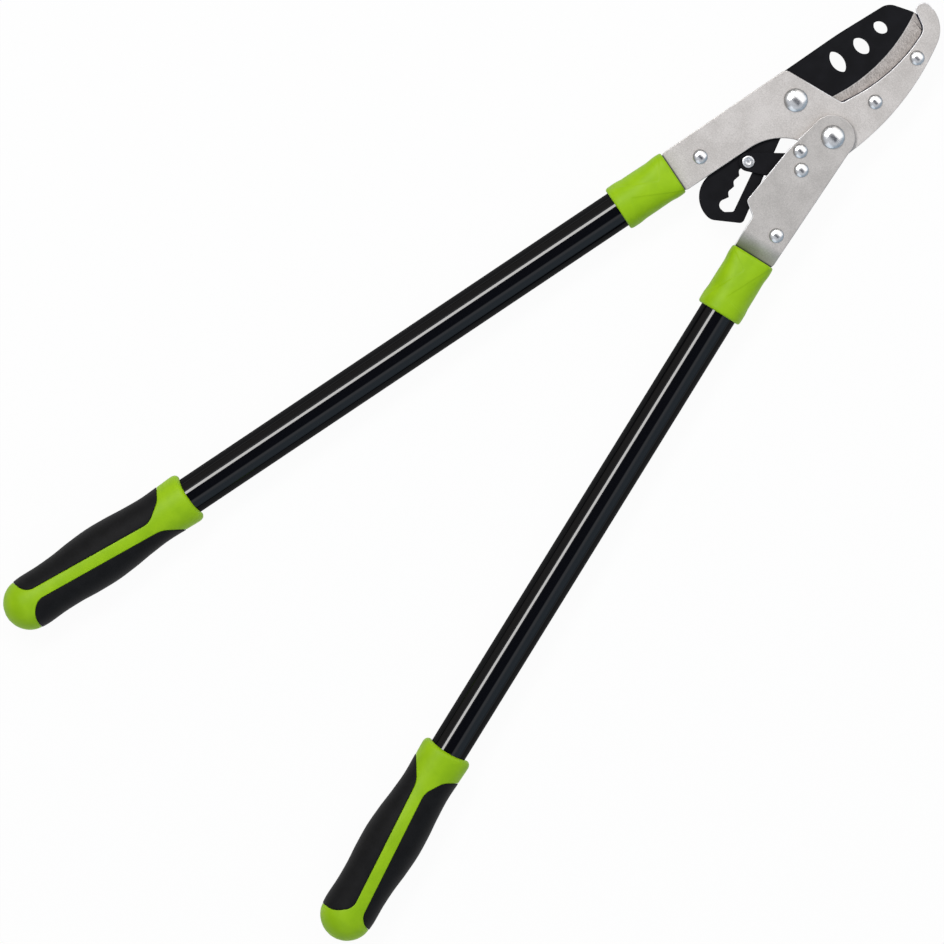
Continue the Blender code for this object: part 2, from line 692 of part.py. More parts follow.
def band_offset(distance):
    """The middle of the green band, measured from the axis towards the other handle."""
    share = (distance - BAND_START[0]) / (BAND_END[0] - BAND_START[0])
    return BAND_START[1] + (BAND_END[1] - BAND_START[1]) * share


def grip_body(name, handle, inset=0.0, count=20):
    rings = []
    for distance, half in GRIP_PROFILE:
        scoop = MOUTH_SCOOP * max(0.0, 1.0 - distance / 12.0) if inset == 0.0 else 0.0
        rings.append(section(handle.grip + distance, half - inset, (half - inset) * GRIP_FLATTENING,
                             2.0, count, scoop))
    if inset > 0.0:
        rings = rings[1:-2]
    return loft(name, rings)


def panel_outline(handle, which, grow=0.0):
    """The edge of a soft panel seen from the front, in the handle's frame."""
    edge = BAND_HALF - grow
    beyond = 24.0
    if which == "outer":
        side = handle.outward
        corners = [(17.0 - grow, beyond, 0), (19.5 - grow, 10.0, 4.0 + grow),
                   (33.0 - grow, edge - band_offset(36.0), 16.0),
                   (118.5, edge - band_offset(118.5), 9.0),
                   (129.5 + grow, 12.5, 7.0 + grow), (128.5 + grow, beyond, 0)]
    else:
        side = -handle.outward
        corners = [(16.0 - grow, beyond, 0), (17.5 - grow, 14.0, 4.0),
                   (29.0 - grow, edge + band_offset(31.0), 20.0),
                   (116.0, edge + band_offset(116.0), 10.0),
                   (128.5 + grow, 8.0, 9.0 + grow), (130.0 + grow, beyond, 0)]
    return rounded([(side * across, -(handle.grip + along), radius) for along, across, radius in corners])


def panel_prism(name, handle, which, grow=0.0):
    outline = panel_outline(handle, which, grow)
    return stacked(name, [(-30.0, outline), (30.0, outline)])


def grip(label, handle, carrier):
    core = piece(f"grip_core_{label}", grip_body(f"grip_core_{label}", handle), GREEN_PLASTIC,
                 carrier, handle.foot, handle.turn, sharp=40.0)
    floor = cutter(f"floor_{label}", grip_body(f"floor_{label}", handle, PANEL_DEPTH + GAP), core)
    for which in ("inner", "outer"):
        name = f"grip_panel_{which}_{label}"
        panel = piece(name, grip_body(name, handle), SOFT_RUBBER,
                      carrier, handle.foot, handle.turn, sharp=40.0)
        cut(panel, cutter(f"outline_{which}_{label}", panel_prism(name, handle, which), core), "INTERSECT")
        hollow = cutter(f"hollow_{which}_{label}", grip_body(name, handle, PANEL_DEPTH), core)
        cut(panel, hollow)
        pocket = cutter(f"pocket_{which}_{label}", panel_prism(name, handle, which, GAP), core)
        cut(pocket, floor)
        cut(core, pocket)
    bore = TUBE_RADIUS + GAP
    ends = (handle.grip - 8.0, handle.grip + TUBE_IN_GRIP + GAP)
    rings = [section(distance, bore, bore, count=TUBE_SIDES) for distance in ends]
    cut(core, cutter(f"bore_{label}", loft(f"bore_{label}", rings), core))


for letter, side_frame, body in (("a", HANDLE_A, ANVIL_SIDE), ("b", HANDLE_B, LEVER_SIDE)):
    handle_tube(f"handle_tube_{letter}", side_frame, body)
    collar(f"collar_{letter}", side_frame, body)
    collar_pin(f"collar_pin_{letter}", side_frame, body)
    grip(letter, side_frame, body)


# Placing: the middle of the tool's box over the origin, its lowest point on z = 0

def place_on_origin():
    bpy.context.view_layer.update()
    graph = bpy.context.evaluated_depsgraph_get()
    corners = []
    for thing in bpy.data.objects:
        if thing.type == "EMPTY" or thing.hide_render:
            continue
        solid = thing.evaluated_get(graph)
        shape = solid.to_mesh()
        corners += [thing.matrix_world @ vertex.co for vertex in shape.vertices]
        solid.to_mesh_clear()
    low = [min(c[axis] for c in corners) for axis in range(3)]
    high = [max(c[axis] for c in corners) for axis in range(3)]
    shift = Vector((-(low[0] + high[0]) / 2, -(low[1] + high[1]) / 2, -low[2]))
    ANVIL_SIDE.empty.location += shift
    print("main pivot is at", [round(v, 5) for v in ANVIL_SIDE.empty.location])
    print("overall size", [round(high[axis] - low[axis], 5) for axis in range(3)])


place_on_origin()
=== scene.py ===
# %% [markdown]
# # A ratchet anvil lopper, dressed in Blender
#
# The tool is a long handled pruner. A pierced black blade closes on an anvil held between two
# plates, and a link whose pin sits in a toothed slot lets the cut be made in several easy
# strokes. The CAD model is loaded as a fixed frame. The steps below first write the finishes,
# then build each piece where its CAD node is, and at the end light the tool.

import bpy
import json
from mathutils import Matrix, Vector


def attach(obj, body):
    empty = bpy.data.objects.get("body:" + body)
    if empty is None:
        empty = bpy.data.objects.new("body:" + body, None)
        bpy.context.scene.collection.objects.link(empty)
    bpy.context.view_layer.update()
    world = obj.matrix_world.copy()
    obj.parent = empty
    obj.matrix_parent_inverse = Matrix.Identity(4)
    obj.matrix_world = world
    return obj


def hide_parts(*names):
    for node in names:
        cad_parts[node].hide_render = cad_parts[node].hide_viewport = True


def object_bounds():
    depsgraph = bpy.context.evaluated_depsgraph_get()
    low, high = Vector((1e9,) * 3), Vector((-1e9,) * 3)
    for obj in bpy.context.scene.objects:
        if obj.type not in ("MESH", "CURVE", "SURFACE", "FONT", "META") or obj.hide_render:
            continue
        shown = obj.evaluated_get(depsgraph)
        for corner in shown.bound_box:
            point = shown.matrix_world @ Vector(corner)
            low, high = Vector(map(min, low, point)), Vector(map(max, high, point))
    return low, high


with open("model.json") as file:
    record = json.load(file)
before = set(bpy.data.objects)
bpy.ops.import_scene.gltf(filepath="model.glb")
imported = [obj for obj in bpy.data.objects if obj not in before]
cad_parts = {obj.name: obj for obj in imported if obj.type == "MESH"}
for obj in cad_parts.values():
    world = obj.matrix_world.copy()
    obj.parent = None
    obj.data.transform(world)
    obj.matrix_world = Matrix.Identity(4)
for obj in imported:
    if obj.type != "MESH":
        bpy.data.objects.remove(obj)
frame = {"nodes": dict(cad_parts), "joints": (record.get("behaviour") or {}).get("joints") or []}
cad_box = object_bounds()

# %% [markdown]
# ## Working in millimetres on a drawing
#
# A maker draws this tool flat, with the main pivot at 0, 0. Shapes are made on that drawing in
# millimetres, with z = 0 in the middle of the blade's thickness, and one matrix carries them to
# the frame's metres. Doing it once, at the end of each piece, leaves every object at the origin
# with its place in its mesh, which is how patterns on Object coordinates stay put.

# %% From the drawing to the world
import math
from functools import cached_property

import bmesh
import bpy
import numpy as np
from mathutils import Matrix, Vector
from mathutils.geometry import delaunay_2d_cdt, tessellate_polygon

MM = 0.001
PIVOT = next(Vector(j["pos_m"]) for j in frame["joints"] if j["name"] == "lever_open")
TO_WORLD = Matrix.Translation(PIVOT) @ Matrix.Scale(MM, 4)
MAIN_PIVOT = (0.0, 0.0)
print("the main pivot is at", [round(v, 5) for v in PIVOT])

# %% [markdown]
# ## The handles' own frames
#
# Each handle leans away from the other by the same angle, so its pieces are easier to draw in a
# frame of their own, which runs down the handle. The foot is where the handle's middle line
# starts, near the pivots.

# %% Handles
SPREAD = math.radians(12.25)


class Handle:
    """A handle's own frame, which runs down its middle line, and where its pieces start.

    band holds how far the middle of the green band lies towards the other handle, at the two
    distances of BAND_MEASURED.
    """

    def __init__(self, letter, body, foot, turn, collar, grip, band):
        self.letter, self.body = letter, body
        self.collar, self.grip, self.band = collar, grip, band
        self.turn = turn
        self.outward = 1 if turn > 0.0 else -1
        self.matrix = Matrix.Translation((*foot, 0.0)) @ Matrix.Rotation(turn, 4, "Z")

    def point(self, distance, side):
        """A point of the handle, on the drawing."""
        return tuple((self.matrix @ Vector((side, -distance, 0.0)))[:2])


HANDLE_A = Handle("a", "anvil_side", foot=(-37.7, 8.2), turn=-SPREAD,
                  collar=99.2, grip=477.0, band=(3.7, -2.3))
HANDLE_B = Handle("b", "lever_side", foot=(-3.0, -0.7), turn=SPREAD,
                  collar=93.4, grip=470.5, band=(1.9, -4.8))
HANDLES = (HANDLE_A, HANDLE_B)
print("grips start", [handle.grip for handle in HANDLES], "mm from the handles' feet")

# %% [markdown]
# ## The camera
#
# The picture is taken straight from above with the tool lying across it from corner to corner.
# A long lens from far away keeps the two handles from converging more than they really do. The
# frame is 614.6 mm wide at the height of the pivots, and the camera is turned so that the tool's
# own X axis runs down to the right.

# %% Camera
VIEW_WIDTH = 614.6
VIEW_CENTRE = (-17.65, -319.9)
VIEW_TURN = math.radians(43.95312)
LENS, SENSOR = 800.0, 36.0

camera = bpy.data.objects.new("camera", bpy.data.cameras.new("camera"))
camera.data.lens, camera.data.sensor_width = LENS, SENSOR
camera.location = TO_WORLD @ Vector((*VIEW_CENTRE, VIEW_WIDTH * LENS / SENSOR))
camera.rotation_euler = (0.0, 0.0, VIEW_TURN)
bpy.context.scene.collection.objects.link(camera)
bpy.context.scene.camera = camera
print("camera", round(VIEW_WIDTH * LENS / SENSOR), "mm above the pivots")

# %% [markdown]
# ## Writing node trees as sums
#
# Materials and Geometry Nodes are both node trees, and a tree is easier to read as a formula.
# `Signal` wraps a socket whose value varies, and each operator adds one Math node. `NodeTree` is
# a tree being written, and its method `node` adds every other kind of node: its settings are set
# first, and then the values or links of its sockets.

# %% A small language for node trees
class Signal:
    """A socket whose value varies, so that trees can be written as sums."""

    def __init__(self, tree, socket):
        self.tree, self.socket = tree, socket

    def math(self, operation, *others):
        """A Math node that takes this number first."""
        return self.tree.node("ShaderNodeMath", dict(enumerate((self, *others))), operation=operation)

    def __add__(self, other):
        return self.math("ADD", other)

    def __sub__(self, other):
        return self.math("SUBTRACT", other)

    def __rsub__(self, other):
        return self.tree.node("ShaderNodeMath", {0: other, 1: self}, operation="SUBTRACT")

    def __mul__(self, other):
        return self.math("MULTIPLY", other)

    __radd__, __rmul__ = __add__, __mul__


class NodeTree:
    """The tree of a material, of the world or of Geometry Nodes, being written."""

    def __init__(self, tree):
        self.tree = tree

    def node(self, kind, sockets=None, output=0, **settings):
        """Adds one node: its settings first, then the values or links of its sockets."""
        made = self.tree.nodes.new(kind)
        for name, value in settings.items():
            setattr(made, name, value)
        for name, value in (sockets or {}).items():
            self.feed(made.inputs[name], value)
        return Signal(self, made.outputs[output])

    def feed(self, socket, value):
        """Links a signal to a socket, or sets the socket's own value."""
        if isinstance(value, Signal):
            self.tree.links.new(value.socket, socket)
        else:
            socket.default_value = value

    def axes(self, vector):
        """The three numbers of a vector."""
        first = self.node("ShaderNodeSeparateXYZ", {0: vector})
        return (Signal(self, socket) for socket in first.socket.node.outputs)


print("node trees are written with Signal and NodeTree")

# %% [markdown]
# ## What every finish needs
#
# `Finish` is a material with a method for each thing that a finish is made of: where a point
# lies, clouds of noise, smooth steps, mixed colours and relief. Numbers that are the same all
# over a surface are set on the shader itself.

# %% Finishes
class Finish(NodeTree):
    """A material, or the world, being written."""

    def __init__(self, name, home=bpy.data.materials):
        self.material = home.new(name)
        self.material.use_nodes = True
        super().__init__(self.material.node_tree)
        self.shader = self.tree.nodes.get("Principled BSDF")

    @cached_property
    def place(self):
        """Object coordinates in millimetres."""
        metres = self.node("ShaderNodeTexCoord", output="Object")
        return self.node("ShaderNodeVectorMath", {"Vector": metres, "Scale": 1.0 / MM}, operation="SCALE")

    def set(self, **sockets):
        """Sets or links the shader's own sockets, with _ for a space in a name."""
        for name, value in sockets.items():
            self.feed(self.shader.inputs[name.replace("_", " ")], value)

    def measured_from(self, at, turn=0.0):
        """Millimetres across and along from a point of the drawing, in a frame that may be turned."""
        origin = TO_WORLD @ Vector((*at, 0.0)) / MM
        arm = self.node("ShaderNodeVectorMath", {0: self.place, 1: origin}, operation="SUBTRACT")
        c, s = math.cos(turn), math.sin(turn)
        return (self.node("ShaderNodeVectorMath", {0: arm, 1: axis}, "Value", operation="DOT_PRODUCT")
                for axis in ((c, s, 0.0), (-s, c, 0.0)))

    def past_mouth(self, handle):
        """Millimetres across a handle, and down it from the mouth of its collar."""
        across, up = self.measured_from(handle.point(handle.collar, 0.0), handle.turn)
        return across, 0.0 - up

    def radius_from(self, at):
        """Millimetres from an upright line through a point of the drawing."""
        x, y = self.measured_from(at)
        return (x * x + y * y).math("SQRT")

    def noise(self, size, detail=2.0, place=None):
        """Cloudy noise from 0 to 1, whose largest clouds are about size millimetres."""
        return self.node("ShaderNodeTexNoise",
                         {"Vector": place or self.place, "Scale": 1.0 / size, "Detail": detail})

    def ramp(self, value, low, high):
        """0 below low, 1 above high, and a smooth rise between."""
        return self.node("ShaderNodeMapRange", {"Value": value, "From Min": low, "From Max": high},
                         interpolation_type="SMOOTHSTEP")

    def mix(self, first, second, share):
        """A colour between two colours."""
        first, second = (c if isinstance(c, Signal) else (*c, 1.0) for c in (first, second))
        return self.node("ShaderNodeMix", {0: share, 6: first, 7: second}, output=2, data_type="RGBA")

    def bump(self, height, depth):
        """A relief whose full height is depth millimetres."""
        return self.node("ShaderNodeBump", {"Height": height, "Distance": depth * MM})


print("finishes are written with Finish")

# %% [markdown]
# ## Bead blasted plates
#
# The anvil and lever plates are stamped steel, blasted with beads so that they look pale and
# even, more like paper than like a mirror. Fine grains break up the light and give a slight
# relief, and slow clouds come from the plating bath. Each plate has a painted shadow, a thin dark
# line where it goes into its collar. The lever plates step inwards just above that line. The
# press tool has ironed the step, so it is smoother there, and its colour is painted olive and
# darker there: a painted reflection of the green collar, with painted shade.

# %% Plate steel
JOGGLE_START, JOGGLE_END = 81.0, 91.0       # the step, in millimetres down the handle
# A painted shadow: a thin dark line on the plate just before the collar's mouth
PAINTED_MOUTH_SHADOW = (-1.5, -0.4)                   # where the dark line sets in, past the collar's mouth
# A painted reflection of the green collar, with painted shade, on the lever plates' step
PAINTED_REFLECTION_START, PAINTED_REFLECTION_END = 1.0, 2.0             # past the start of the step, past the mouth
PAINTED_REFLECTION_FADE = (-8.0, 14.0)                   # across the handle


def plate_steel(name, dark, light, handle, stepped=False):
    """Blasted steel with a painted shadow at the collar's mouth, and smoother where a plate steps, with a
    painted olive reflection of the collar there.
    """
    finish = Finish(name)
    grain, speck, cloud = finish.noise(0.5, 3.0), finish.noise(0.9), finish.noise(14.0, 3.0)
    tone = finish.ramp(grain * 0.45 + speck * 0.25 + cloud * 0.3, 0.36, 0.64)
    colour, shine = finish.mix(dark, light, tone), 0.0
    across, past = finish.past_mouth(handle)
    if stepped:
        start, end = JOGGLE_START - handle.collar, JOGGLE_END - handle.collar
        shine = finish.ramp(past, start, end)
        # Painted reflection and painted shade: the step is tinted olive like the green collar, more on one
        # side
        collar_reflection = finish.ramp(past, start + PAINTED_REFLECTION_START, PAINTED_REFLECTION_END)
        collar_reflection = collar_reflection * (1.0 - finish.ramp(across, *PAINTED_REFLECTION_FADE) * 0.55)
        colour = finish.mix(colour, (0.08, 0.125, 0.012), collar_reflection)
    # Painted shadow: a thin dark line just before the collar's mouth
    colour = finish.mix(colour, (0.02, 0.028, 0.012), finish.ramp(past, *PAINTED_MOUTH_SHADOW) * 0.9)
    finish.set(Base_Color=colour,
               Metallic=0.35 + shine * 0.15, Roughness=0.64 - tone * 0.14 - shine * 0.18,
               Normal=finish.bump(grain + speck * 0.5, 0.010))
    return finish.material


ANVIL_STEEL = plate_steel("blasted_anvil_plate", (0.52, 0.492, 0.472), (0.70, 0.668, 0.650), HANDLE_A)
LEVER_STEEL = plate_steel("blasted_lever_plate", (0.44, 0.42, 0.405), (0.60, 0.574, 0.556), HANDLE_B,
                          stepped=True)
print("made", ANVIL_STEEL.name, "and", LEVER_STEEL.name)

# %% [markdown]
# ## Painted highlights on the left edges
#
# The edges on the plates' left face the key lamp, and they get a lighter, smoother finish of
# their own, a painted highlight. It is bright along the jaw and the lever's arm, and duller round
# the main pivot and on the tang.

# %% Worn edges
# Where the painted highlight on the plates' left edges is bright
HIGHLIGHT_RIGHT_OF = (-42.0, -32.0)            # on the drawing, which leaves out the anvil's tang
HIGHLIGHT_BEYOND = (14.5, 22.0)                # from the main pivot


def edge_highlight_finish():
    finish = Finish("worn_plate_edge")
    grain, cloud = finish.noise(0.6), finish.noise(5.0)
    tone = finish.ramp(grain * 0.5 + cloud * 0.5, 0.35, 0.65)
    x, _ = finish.measured_from(MAIN_PIVOT)
    highlighted = finish.ramp(x, *HIGHLIGHT_RIGHT_OF)
    highlighted = highlighted * finish.ramp(finish.radius_from(MAIN_PIVOT), *HIGHLIGHT_BEYOND)
    # Painted highlight: lighter than the plate, dimmed near the main pivot and on the tang
    bright = finish.mix((0.84, 0.84, 0.86), (0.94, 0.94, 0.96), tone)
    finish.set(Base_Color=finish.mix((0.60, 0.575, 0.56), bright, highlighted),
               Metallic=0.6, Roughness=0.36 + tone * 0.08)
    return finish.material


PAINTED_EDGE_HIGHLIGHT = edge_highlight_finish()
print("made", PAINTED_EDGE_HIGHLIGHT.name)

# %% [markdown]
# ## Black coating
#
# The blade and the link plates are coated against sap and rust. The coating is nearly black and
# reflects little, and a fine grain keeps its highlights soft.

# %% Coated steel
def coated_steel():
    finish = Finish("black_coated_steel")
    grain, cloud = finish.noise(0.35), finish.noise(9.0, 4.0)
    tone = finish.ramp(cloud * 0.7 + grain * 0.3, 0.35, 0.7)
    finish.set(Base_Color=finish.mix((0.0055, 0.0055, 0.0070), (0.0085, 0.0085, 0.0110), tone),
               Roughness=0.46 + tone * 0.08, Normal=finish.bump(grain, 0.006), Specular_IOR_Level=0.10)
    return finish.material


COATED_STEEL = coated_steel()
print("made", COATED_STEEL.name)

# %% [markdown]
# ## Ground steel
#
# Next to its edge the blade was ground after coating. The grinding wheel runs on an arc, so its
# marks cross the ground band as short strokes at one angle. Angle and radius about the arc's
# centre make a coordinate in which such strokes are simply a stretched noise, and the ragged
# line where the coating stops is a step in radius, with a thin bright burr beside it. A painted
# shadow lies along the jaw plates, where the blade passes under them: the distance to their
# inner edge, two arcs and a straight line, makes a thin black line there.

# %% Ground steel
WHEEL_CENTRE, WHEEL_RADIUS = (-126.8, 57.5), 114.9
EDGE_RADIUS = 115.9
JAW_CENTRE, JAW_RADIUS = (-116.2, 65.2), 113.9
THROAT_CENTRE, THROAT_RADIUS, THROAT_TURN = (-12.3, 85.5), 8.0, math.radians(40.0)
THROAT_START = (5.0, 6.6)                   # where the throat's arc takes over from the jaw's
HOOK_START, HOOK_TURN = (-9.5, 93.1), math.radians(-20.0)
# Where the painted shadow along the jaw plates fades out
JAW_SHADOW_EDGE = (0.45, 0.75)                     # from the plates' edge
OUT_OF_REACH = 9.0


def outside_jaw_shadow(finish):
    """0 in the painted shadow on the inner edge of the jaw plates and 1 away from it."""
    to_jaw = finish.radius_from(JAW_CENTRE) - JAW_RADIUS
    to_throat = finish.radius_from(THROAT_CENTRE) - THROAT_RADIUS
    past_throat, _ = finish.measured_from(THROAT_CENTRE, THROAT_TURN)
    _, to_hook = finish.measured_from(HOOK_START, HOOK_TURN)
    elsewhere = 1.0 - finish.ramp(past_throat, *THROAT_START)
    nearest = to_jaw.math("ABSOLUTE").math("MINIMUM", to_hook.math("ABSOLUTE"))
    nearest = nearest.math("MINIMUM", to_throat.math("ABSOLUTE") + elsewhere * OUT_OF_REACH)
    return finish.ramp(nearest, *JAW_SHADOW_EDGE)


def ground_steel():
    finish = Finish("ground_blade_steel")
    x, y = finish.measured_from(WHEEL_CENTRE)
    angle, radius = y.math("ARCTAN2", x), finish.radius_from(WHEEL_CENTRE)
    strokes_at = finish.node("ShaderNodeCombineXYZ",
                             {"X": angle * WHEEL_RADIUS * 2.0 + radius * 0.9, "Y": radius * 0.4})
    strokes = finish.noise(1.0, 3.0, strokes_at)
    mottle, cloud = finish.noise(0.8, 3.0), finish.noise(6.0, 3.0)
    tone = finish.ramp(strokes * 0.4 + mottle * 0.4 + cloud * 0.2, 0.38, 0.62)
    past_line = radius + mottle * 0.5 - WHEEL_RADIUS
    coating = 1.0 - finish.ramp(past_line, 0.40, 0.55)
    burr = finish.ramp(past_line, 0.45, 0.6) - finish.ramp(past_line, 0.8, 1.1)
    colour = finish.mix((0.35, 0.315, 0.295), (0.66, 0.615, 0.585), tone)
    colour = finish.mix(colour, (0.74, 0.72, 0.70), burr * 0.6)
    # Painted shadow: a thin black line along the inner edge of the jaw plates
    colour = finish.mix((0.012, 0.012, 0.030), colour, outside_jaw_shadow(finish))
    finish.set(Base_Color=finish.mix(colour, (0.02, 0.02, 0.025), coating * 0.9),
               Metallic=0.3, Roughness=0.58 - strokes * 0.15, Normal=finish.bump(strokes, 0.010))
    return finish.material


GROUND_STEEL = ground_steel()
print("made", GROUND_STEEL.name)

# %% [markdown]
# ## Bright rivets, springs and the anvil
#
# Rivets are zinc plated and headed by a press that leaves them smooth and bright. Spring wire
# and spacers are plain grey steel, and the bar that the edge lands on is a soft alloy.

# %% Small metals
def plain_metal(name, dark, light, roughness, cloud, metallic=1.0, relief=0.004):
    """An even metal with clouds of a given size in millimetres and a slight relief."""
    finish = Finish(name)
    tone = finish.ramp(finish.noise(cloud, 3.0), 0.3, 0.7)
    finish.set(Base_Color=finish.mix(dark, light, tone), Metallic=metallic,
               Roughness=roughness + tone * 0.06, Normal=finish.bump(tone, relief))
    return finish.material


RIVET_STEEL = plain_metal("bright_zinc_rivet", (0.76, 0.76, 0.77), (0.86, 0.86, 0.86),
                          roughness=0.17, cloud=2.5, metallic=0.9, relief=0.0008)
PIN_STEEL = plain_metal("turned_pin_steel", (0.72, 0.73, 0.75), (0.82, 0.83, 0.85),
                        roughness=0.26, cloud=1.0, metallic=0.7, relief=0.001)
SPRING_STEEL = plain_metal("spring_steel", (0.28, 0.28, 0.30), (0.42, 0.42, 0.43), roughness=0.30, cloud=2.0)
ANVIL_ALLOY = plain_metal("anvil_alloy", (0.52, 0.48, 0.40), (0.66, 0.61, 0.52), roughness=0.38, cloud=3.0)
print("made", RIVET_STEEL.name, PIN_STEEL.name, SPRING_STEEL.name, ANVIL_ALLOY.name)

# %% [markdown]
# ## Tube paint
#
# The tubes have a deep gloss black that shows one thin line of the lamp, so it is a dark base
# under a clear coat, with the slight waviness of sprayed paint. The coat grows weaker towards
# the tube's sides, which keeps them black over a white floor.

# %% Tube paint
def tube_paint():
    finish = Finish("gloss_black_tube_paint")
    wave, fleck = finish.noise(4.0), finish.noise(0.5)
    tone = finish.ramp(fleck, 0.4, 0.6)
    slant = finish.node("ShaderNodeLayerWeight", {"Blend": 0.5}, "Facing")
    finish.set(Base_Color=finish.mix((0.0022, 0.0022, 0.0028), (0.0036, 0.0036, 0.0046), tone),
               Roughness=0.5 + fleck * 0.1, Normal=finish.bump(wave, 0.012), Specular_IOR_Level=0.0,
               Coat_Weight=1.0 - finish.ramp(slant, 0.20, 0.36) * 0.9, Coat_Roughness=0.05, Coat_IOR=1.6)
    return finish.material


TUBE_PAINT = tube_paint()
print("made", TUBE_PAINT.name)

# %% [markdown]
# ## Green plastic and its moulded wedges
#
# The green parts are moulded in one colour with a satin skin. On each collar the mould left two
# shallow recesses, one from either side, each a wedge with its point near the middle. A wedge is
# where two straight lines both say inside, so the greater of the two distances, rounded off at
# the point, makes its edge.

# %% Green plastic
# The two lines of each wedge, which point outwards: across and down the handle, and an offset
LEFT_WEDGE = [(1.0, 0.492, 4.76), (1.0, -1.524, -9.05)]
RIGHT_WEDGE = [(-1.0, -0.492, -12.92), (-0.22, 1.0, 31.9)]
WEDGE_ROUND, WEDGE_EDGE, WEDGE_DEPTH = 3.0, 0.55, 0.22


def outside_wedge(across, along, lines):
    """0 in a wedge and 1 outside it."""
    to_first, to_second = (across * (x / math.hypot(x, y)) + along * (y / math.hypot(x, y)) - offset
                           for x, y, offset in lines)
    edge = to_first.math("SMOOTH_MAX", to_second, WEDGE_ROUND)
    return across.tree.ramp(edge, -WEDGE_EDGE, WEDGE_EDGE)


def green_plastic(name, handle=None):
    """Green plastic, with a collar's wedges if a handle is given."""
    finish = Finish(name)
    cloud, grain = finish.noise(11.0, 3.0), finish.noise(0.45)
    tone = finish.ramp(cloud, 0.3, 0.7)
    relief = grain * 0.006
    if handle:
        across, along = finish.past_mouth(handle)
        relief = relief + WEDGE_DEPTH * (
            outside_wedge(across, along, LEFT_WEDGE) * outside_wedge(across, along, RIGHT_WEDGE))
    finish.set(Base_Color=finish.mix((0.300, 0.545, 0.002), (0.345, 0.600, 0.004), tone),
               Roughness=0.44 + grain * 0.10, Normal=finish.bump(relief, 1.0), Specular_IOR_Level=0.25)
    return finish.material


GREEN_PLASTIC = green_plastic("lime_green_plastic")
print("made", GREEN_PLASTIC.name)

# %% [markdown]
# ## Soft rubber
#
# The grips' soft panels are moulded over the green plastic. They are a dull black with a fine
# grain, which is deeper than on any other piece, so that they look dry to the touch.

# %% Soft rubber
def soft_rubber():
    finish = Finish("soft_black_rubber")
    grain, cloud = finish.noise(0.55, 3.0), finish.noise(7.0, 3.0)
    tone = finish.ramp(grain * 0.5 + cloud * 0.5, 0.35, 0.65)
    finish.set(Base_Color=finish.mix((0.0055, 0.0055, 0.0060), (0.0090, 0.0090, 0.0100), tone),
               Roughness=0.52 + grain * 0.16, Normal=finish.bump(grain, 0.025), Specular_IOR_Level=0.14)
    return finish.material


SOFT_RUBBER = soft_rubber()
print("made", SOFT_RUBBER.name)

# %% [markdown]
# ## Finishing a piece
#
# Weighted normals keep flat faces flat right up to their rounded edges.

# %% From a mesh to a piece
def solid(name, vertices, faces):
    """A closed mesh on the drawing, with its faces turned outwards."""
    mesh = bpy.data.meshes.new(name)
    mesh.from_pydata([tuple(v) for v in vertices], [], faces)
    shell = bmesh.new()
    shell.from_mesh(mesh)
    bmesh.ops.recalc_face_normals(shell, faces=shell.faces)
    shell.to_mesh(mesh)
    shell.free()
    return mesh


def piece(mesh, body, nodes, looks, place=None, sharp=30.0, flat_faces=False):
    mesh.transform(TO_WORLD @ (place or Matrix.Identity(4)))
    for look in looks:
        mesh.materials.append(look)
    mesh.shade_smooth()
    mesh.set_sharp_from_angle(angle=math.radians(sharp))
    made = bpy.data.objects.new(mesh.name, mesh)
    bpy.context.scene.collection.objects.link(made)
    if flat_faces:
        weighted = made.modifiers.new("flat_faces", "WEIGHTED_NORMAL")
        weighted.keep_sharp = True
    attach(made, body)
    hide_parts(*nodes)
    return made


print("pieces are finished with solid() and piece()")

# %% [markdown]
# ## Outlines with rounded corners
#
# A stamped plate is a polygon whose corners each have a radius. The list of corners is short and
# easy to measure, and the arcs are worked out from it, with enough chords that no facet can be
# seen.

# %% Outlines
CHORD_ERROR = 0.012


def arc_steps(radius, turn):
    """How many chords keep an arc within the chord error."""
    widest = 2.0 * math.acos(1.0 - CHORD_ERROR / max(radius, 2.0 * CHORD_ERROR))
    return max(2, math.ceil(abs(turn) / widest))


def rounded(corners):
    """A closed outline from corners (x, y, radius) or (x, y, radius, chords)."""
    points = []
    for index, (x, y, radius, *chords) in enumerate(corners):
        here = Vector((x, y))
        back = (Vector(corners[index - 1][:2]) - here).normalized()
        ahead = (Vector(corners[(index + 1) % len(corners)][:2]) - here).normalized()
        if radius == 0.0:
            points.append(tuple(here))
            continue
        between = back.angle(ahead)
        turn = math.pi - between
        steps = chords[0] if chords else arc_steps(radius, turn)
        centre = here + (back + ahead).normalized() * radius / math.sin(between / 2)
        spoke = here + back * radius / math.tan(between / 2) - centre
        sign = 1.0 if back.cross(ahead) < 0.0 else -1.0
        for step in range(steps + 1):
            c, s = math.cos(sign * turn * step / steps), math.sin(sign * turn * step / steps)
            points.append((centre.x + c * spoke.x - s * spoke.y, centre.y + s * spoke.x + c * spoke.y))
    return points


def circle(at, radius, count=48):
    return [(at[0] + radius * math.cos(2 * math.pi * k / count),
             at[1] + radius * math.sin(2 * math.pi * k / count)) for k in range(count)]


def turning(outline):
    """1 if an outline runs anticlockwise and -1 if it runs clockwise."""
    x, y = np.array(outline).T
    return np.sign(np.sum(x * np.roll(y, -1) - y * np.roll(x, -1)))


def inset(outline, amount, shares=1.0):
    """The outline moved into the material by an amount, or by a share of it at each point."""
    points = np.array(outline)
    ahead = np.roll(points, -1, axis=0) - points
    ahead /= np.linalg.norm(ahead, axis=1)[:, None]
    back = np.roll(ahead, 1, axis=0)
    normal = np.stack([-(ahead + back)[:, 1], (ahead + back)[:, 0]], axis=1) * turning(points)
    normal /= np.linalg.norm(normal, axis=1)[:, None]
    mitre = np.sqrt(np.maximum(0.5 * (1.0 + np.sum(ahead * back, axis=1)), 0.25))
    return [tuple(p) for p in points + normal * (amount * np.array(shares) / mitre)[:, None]]


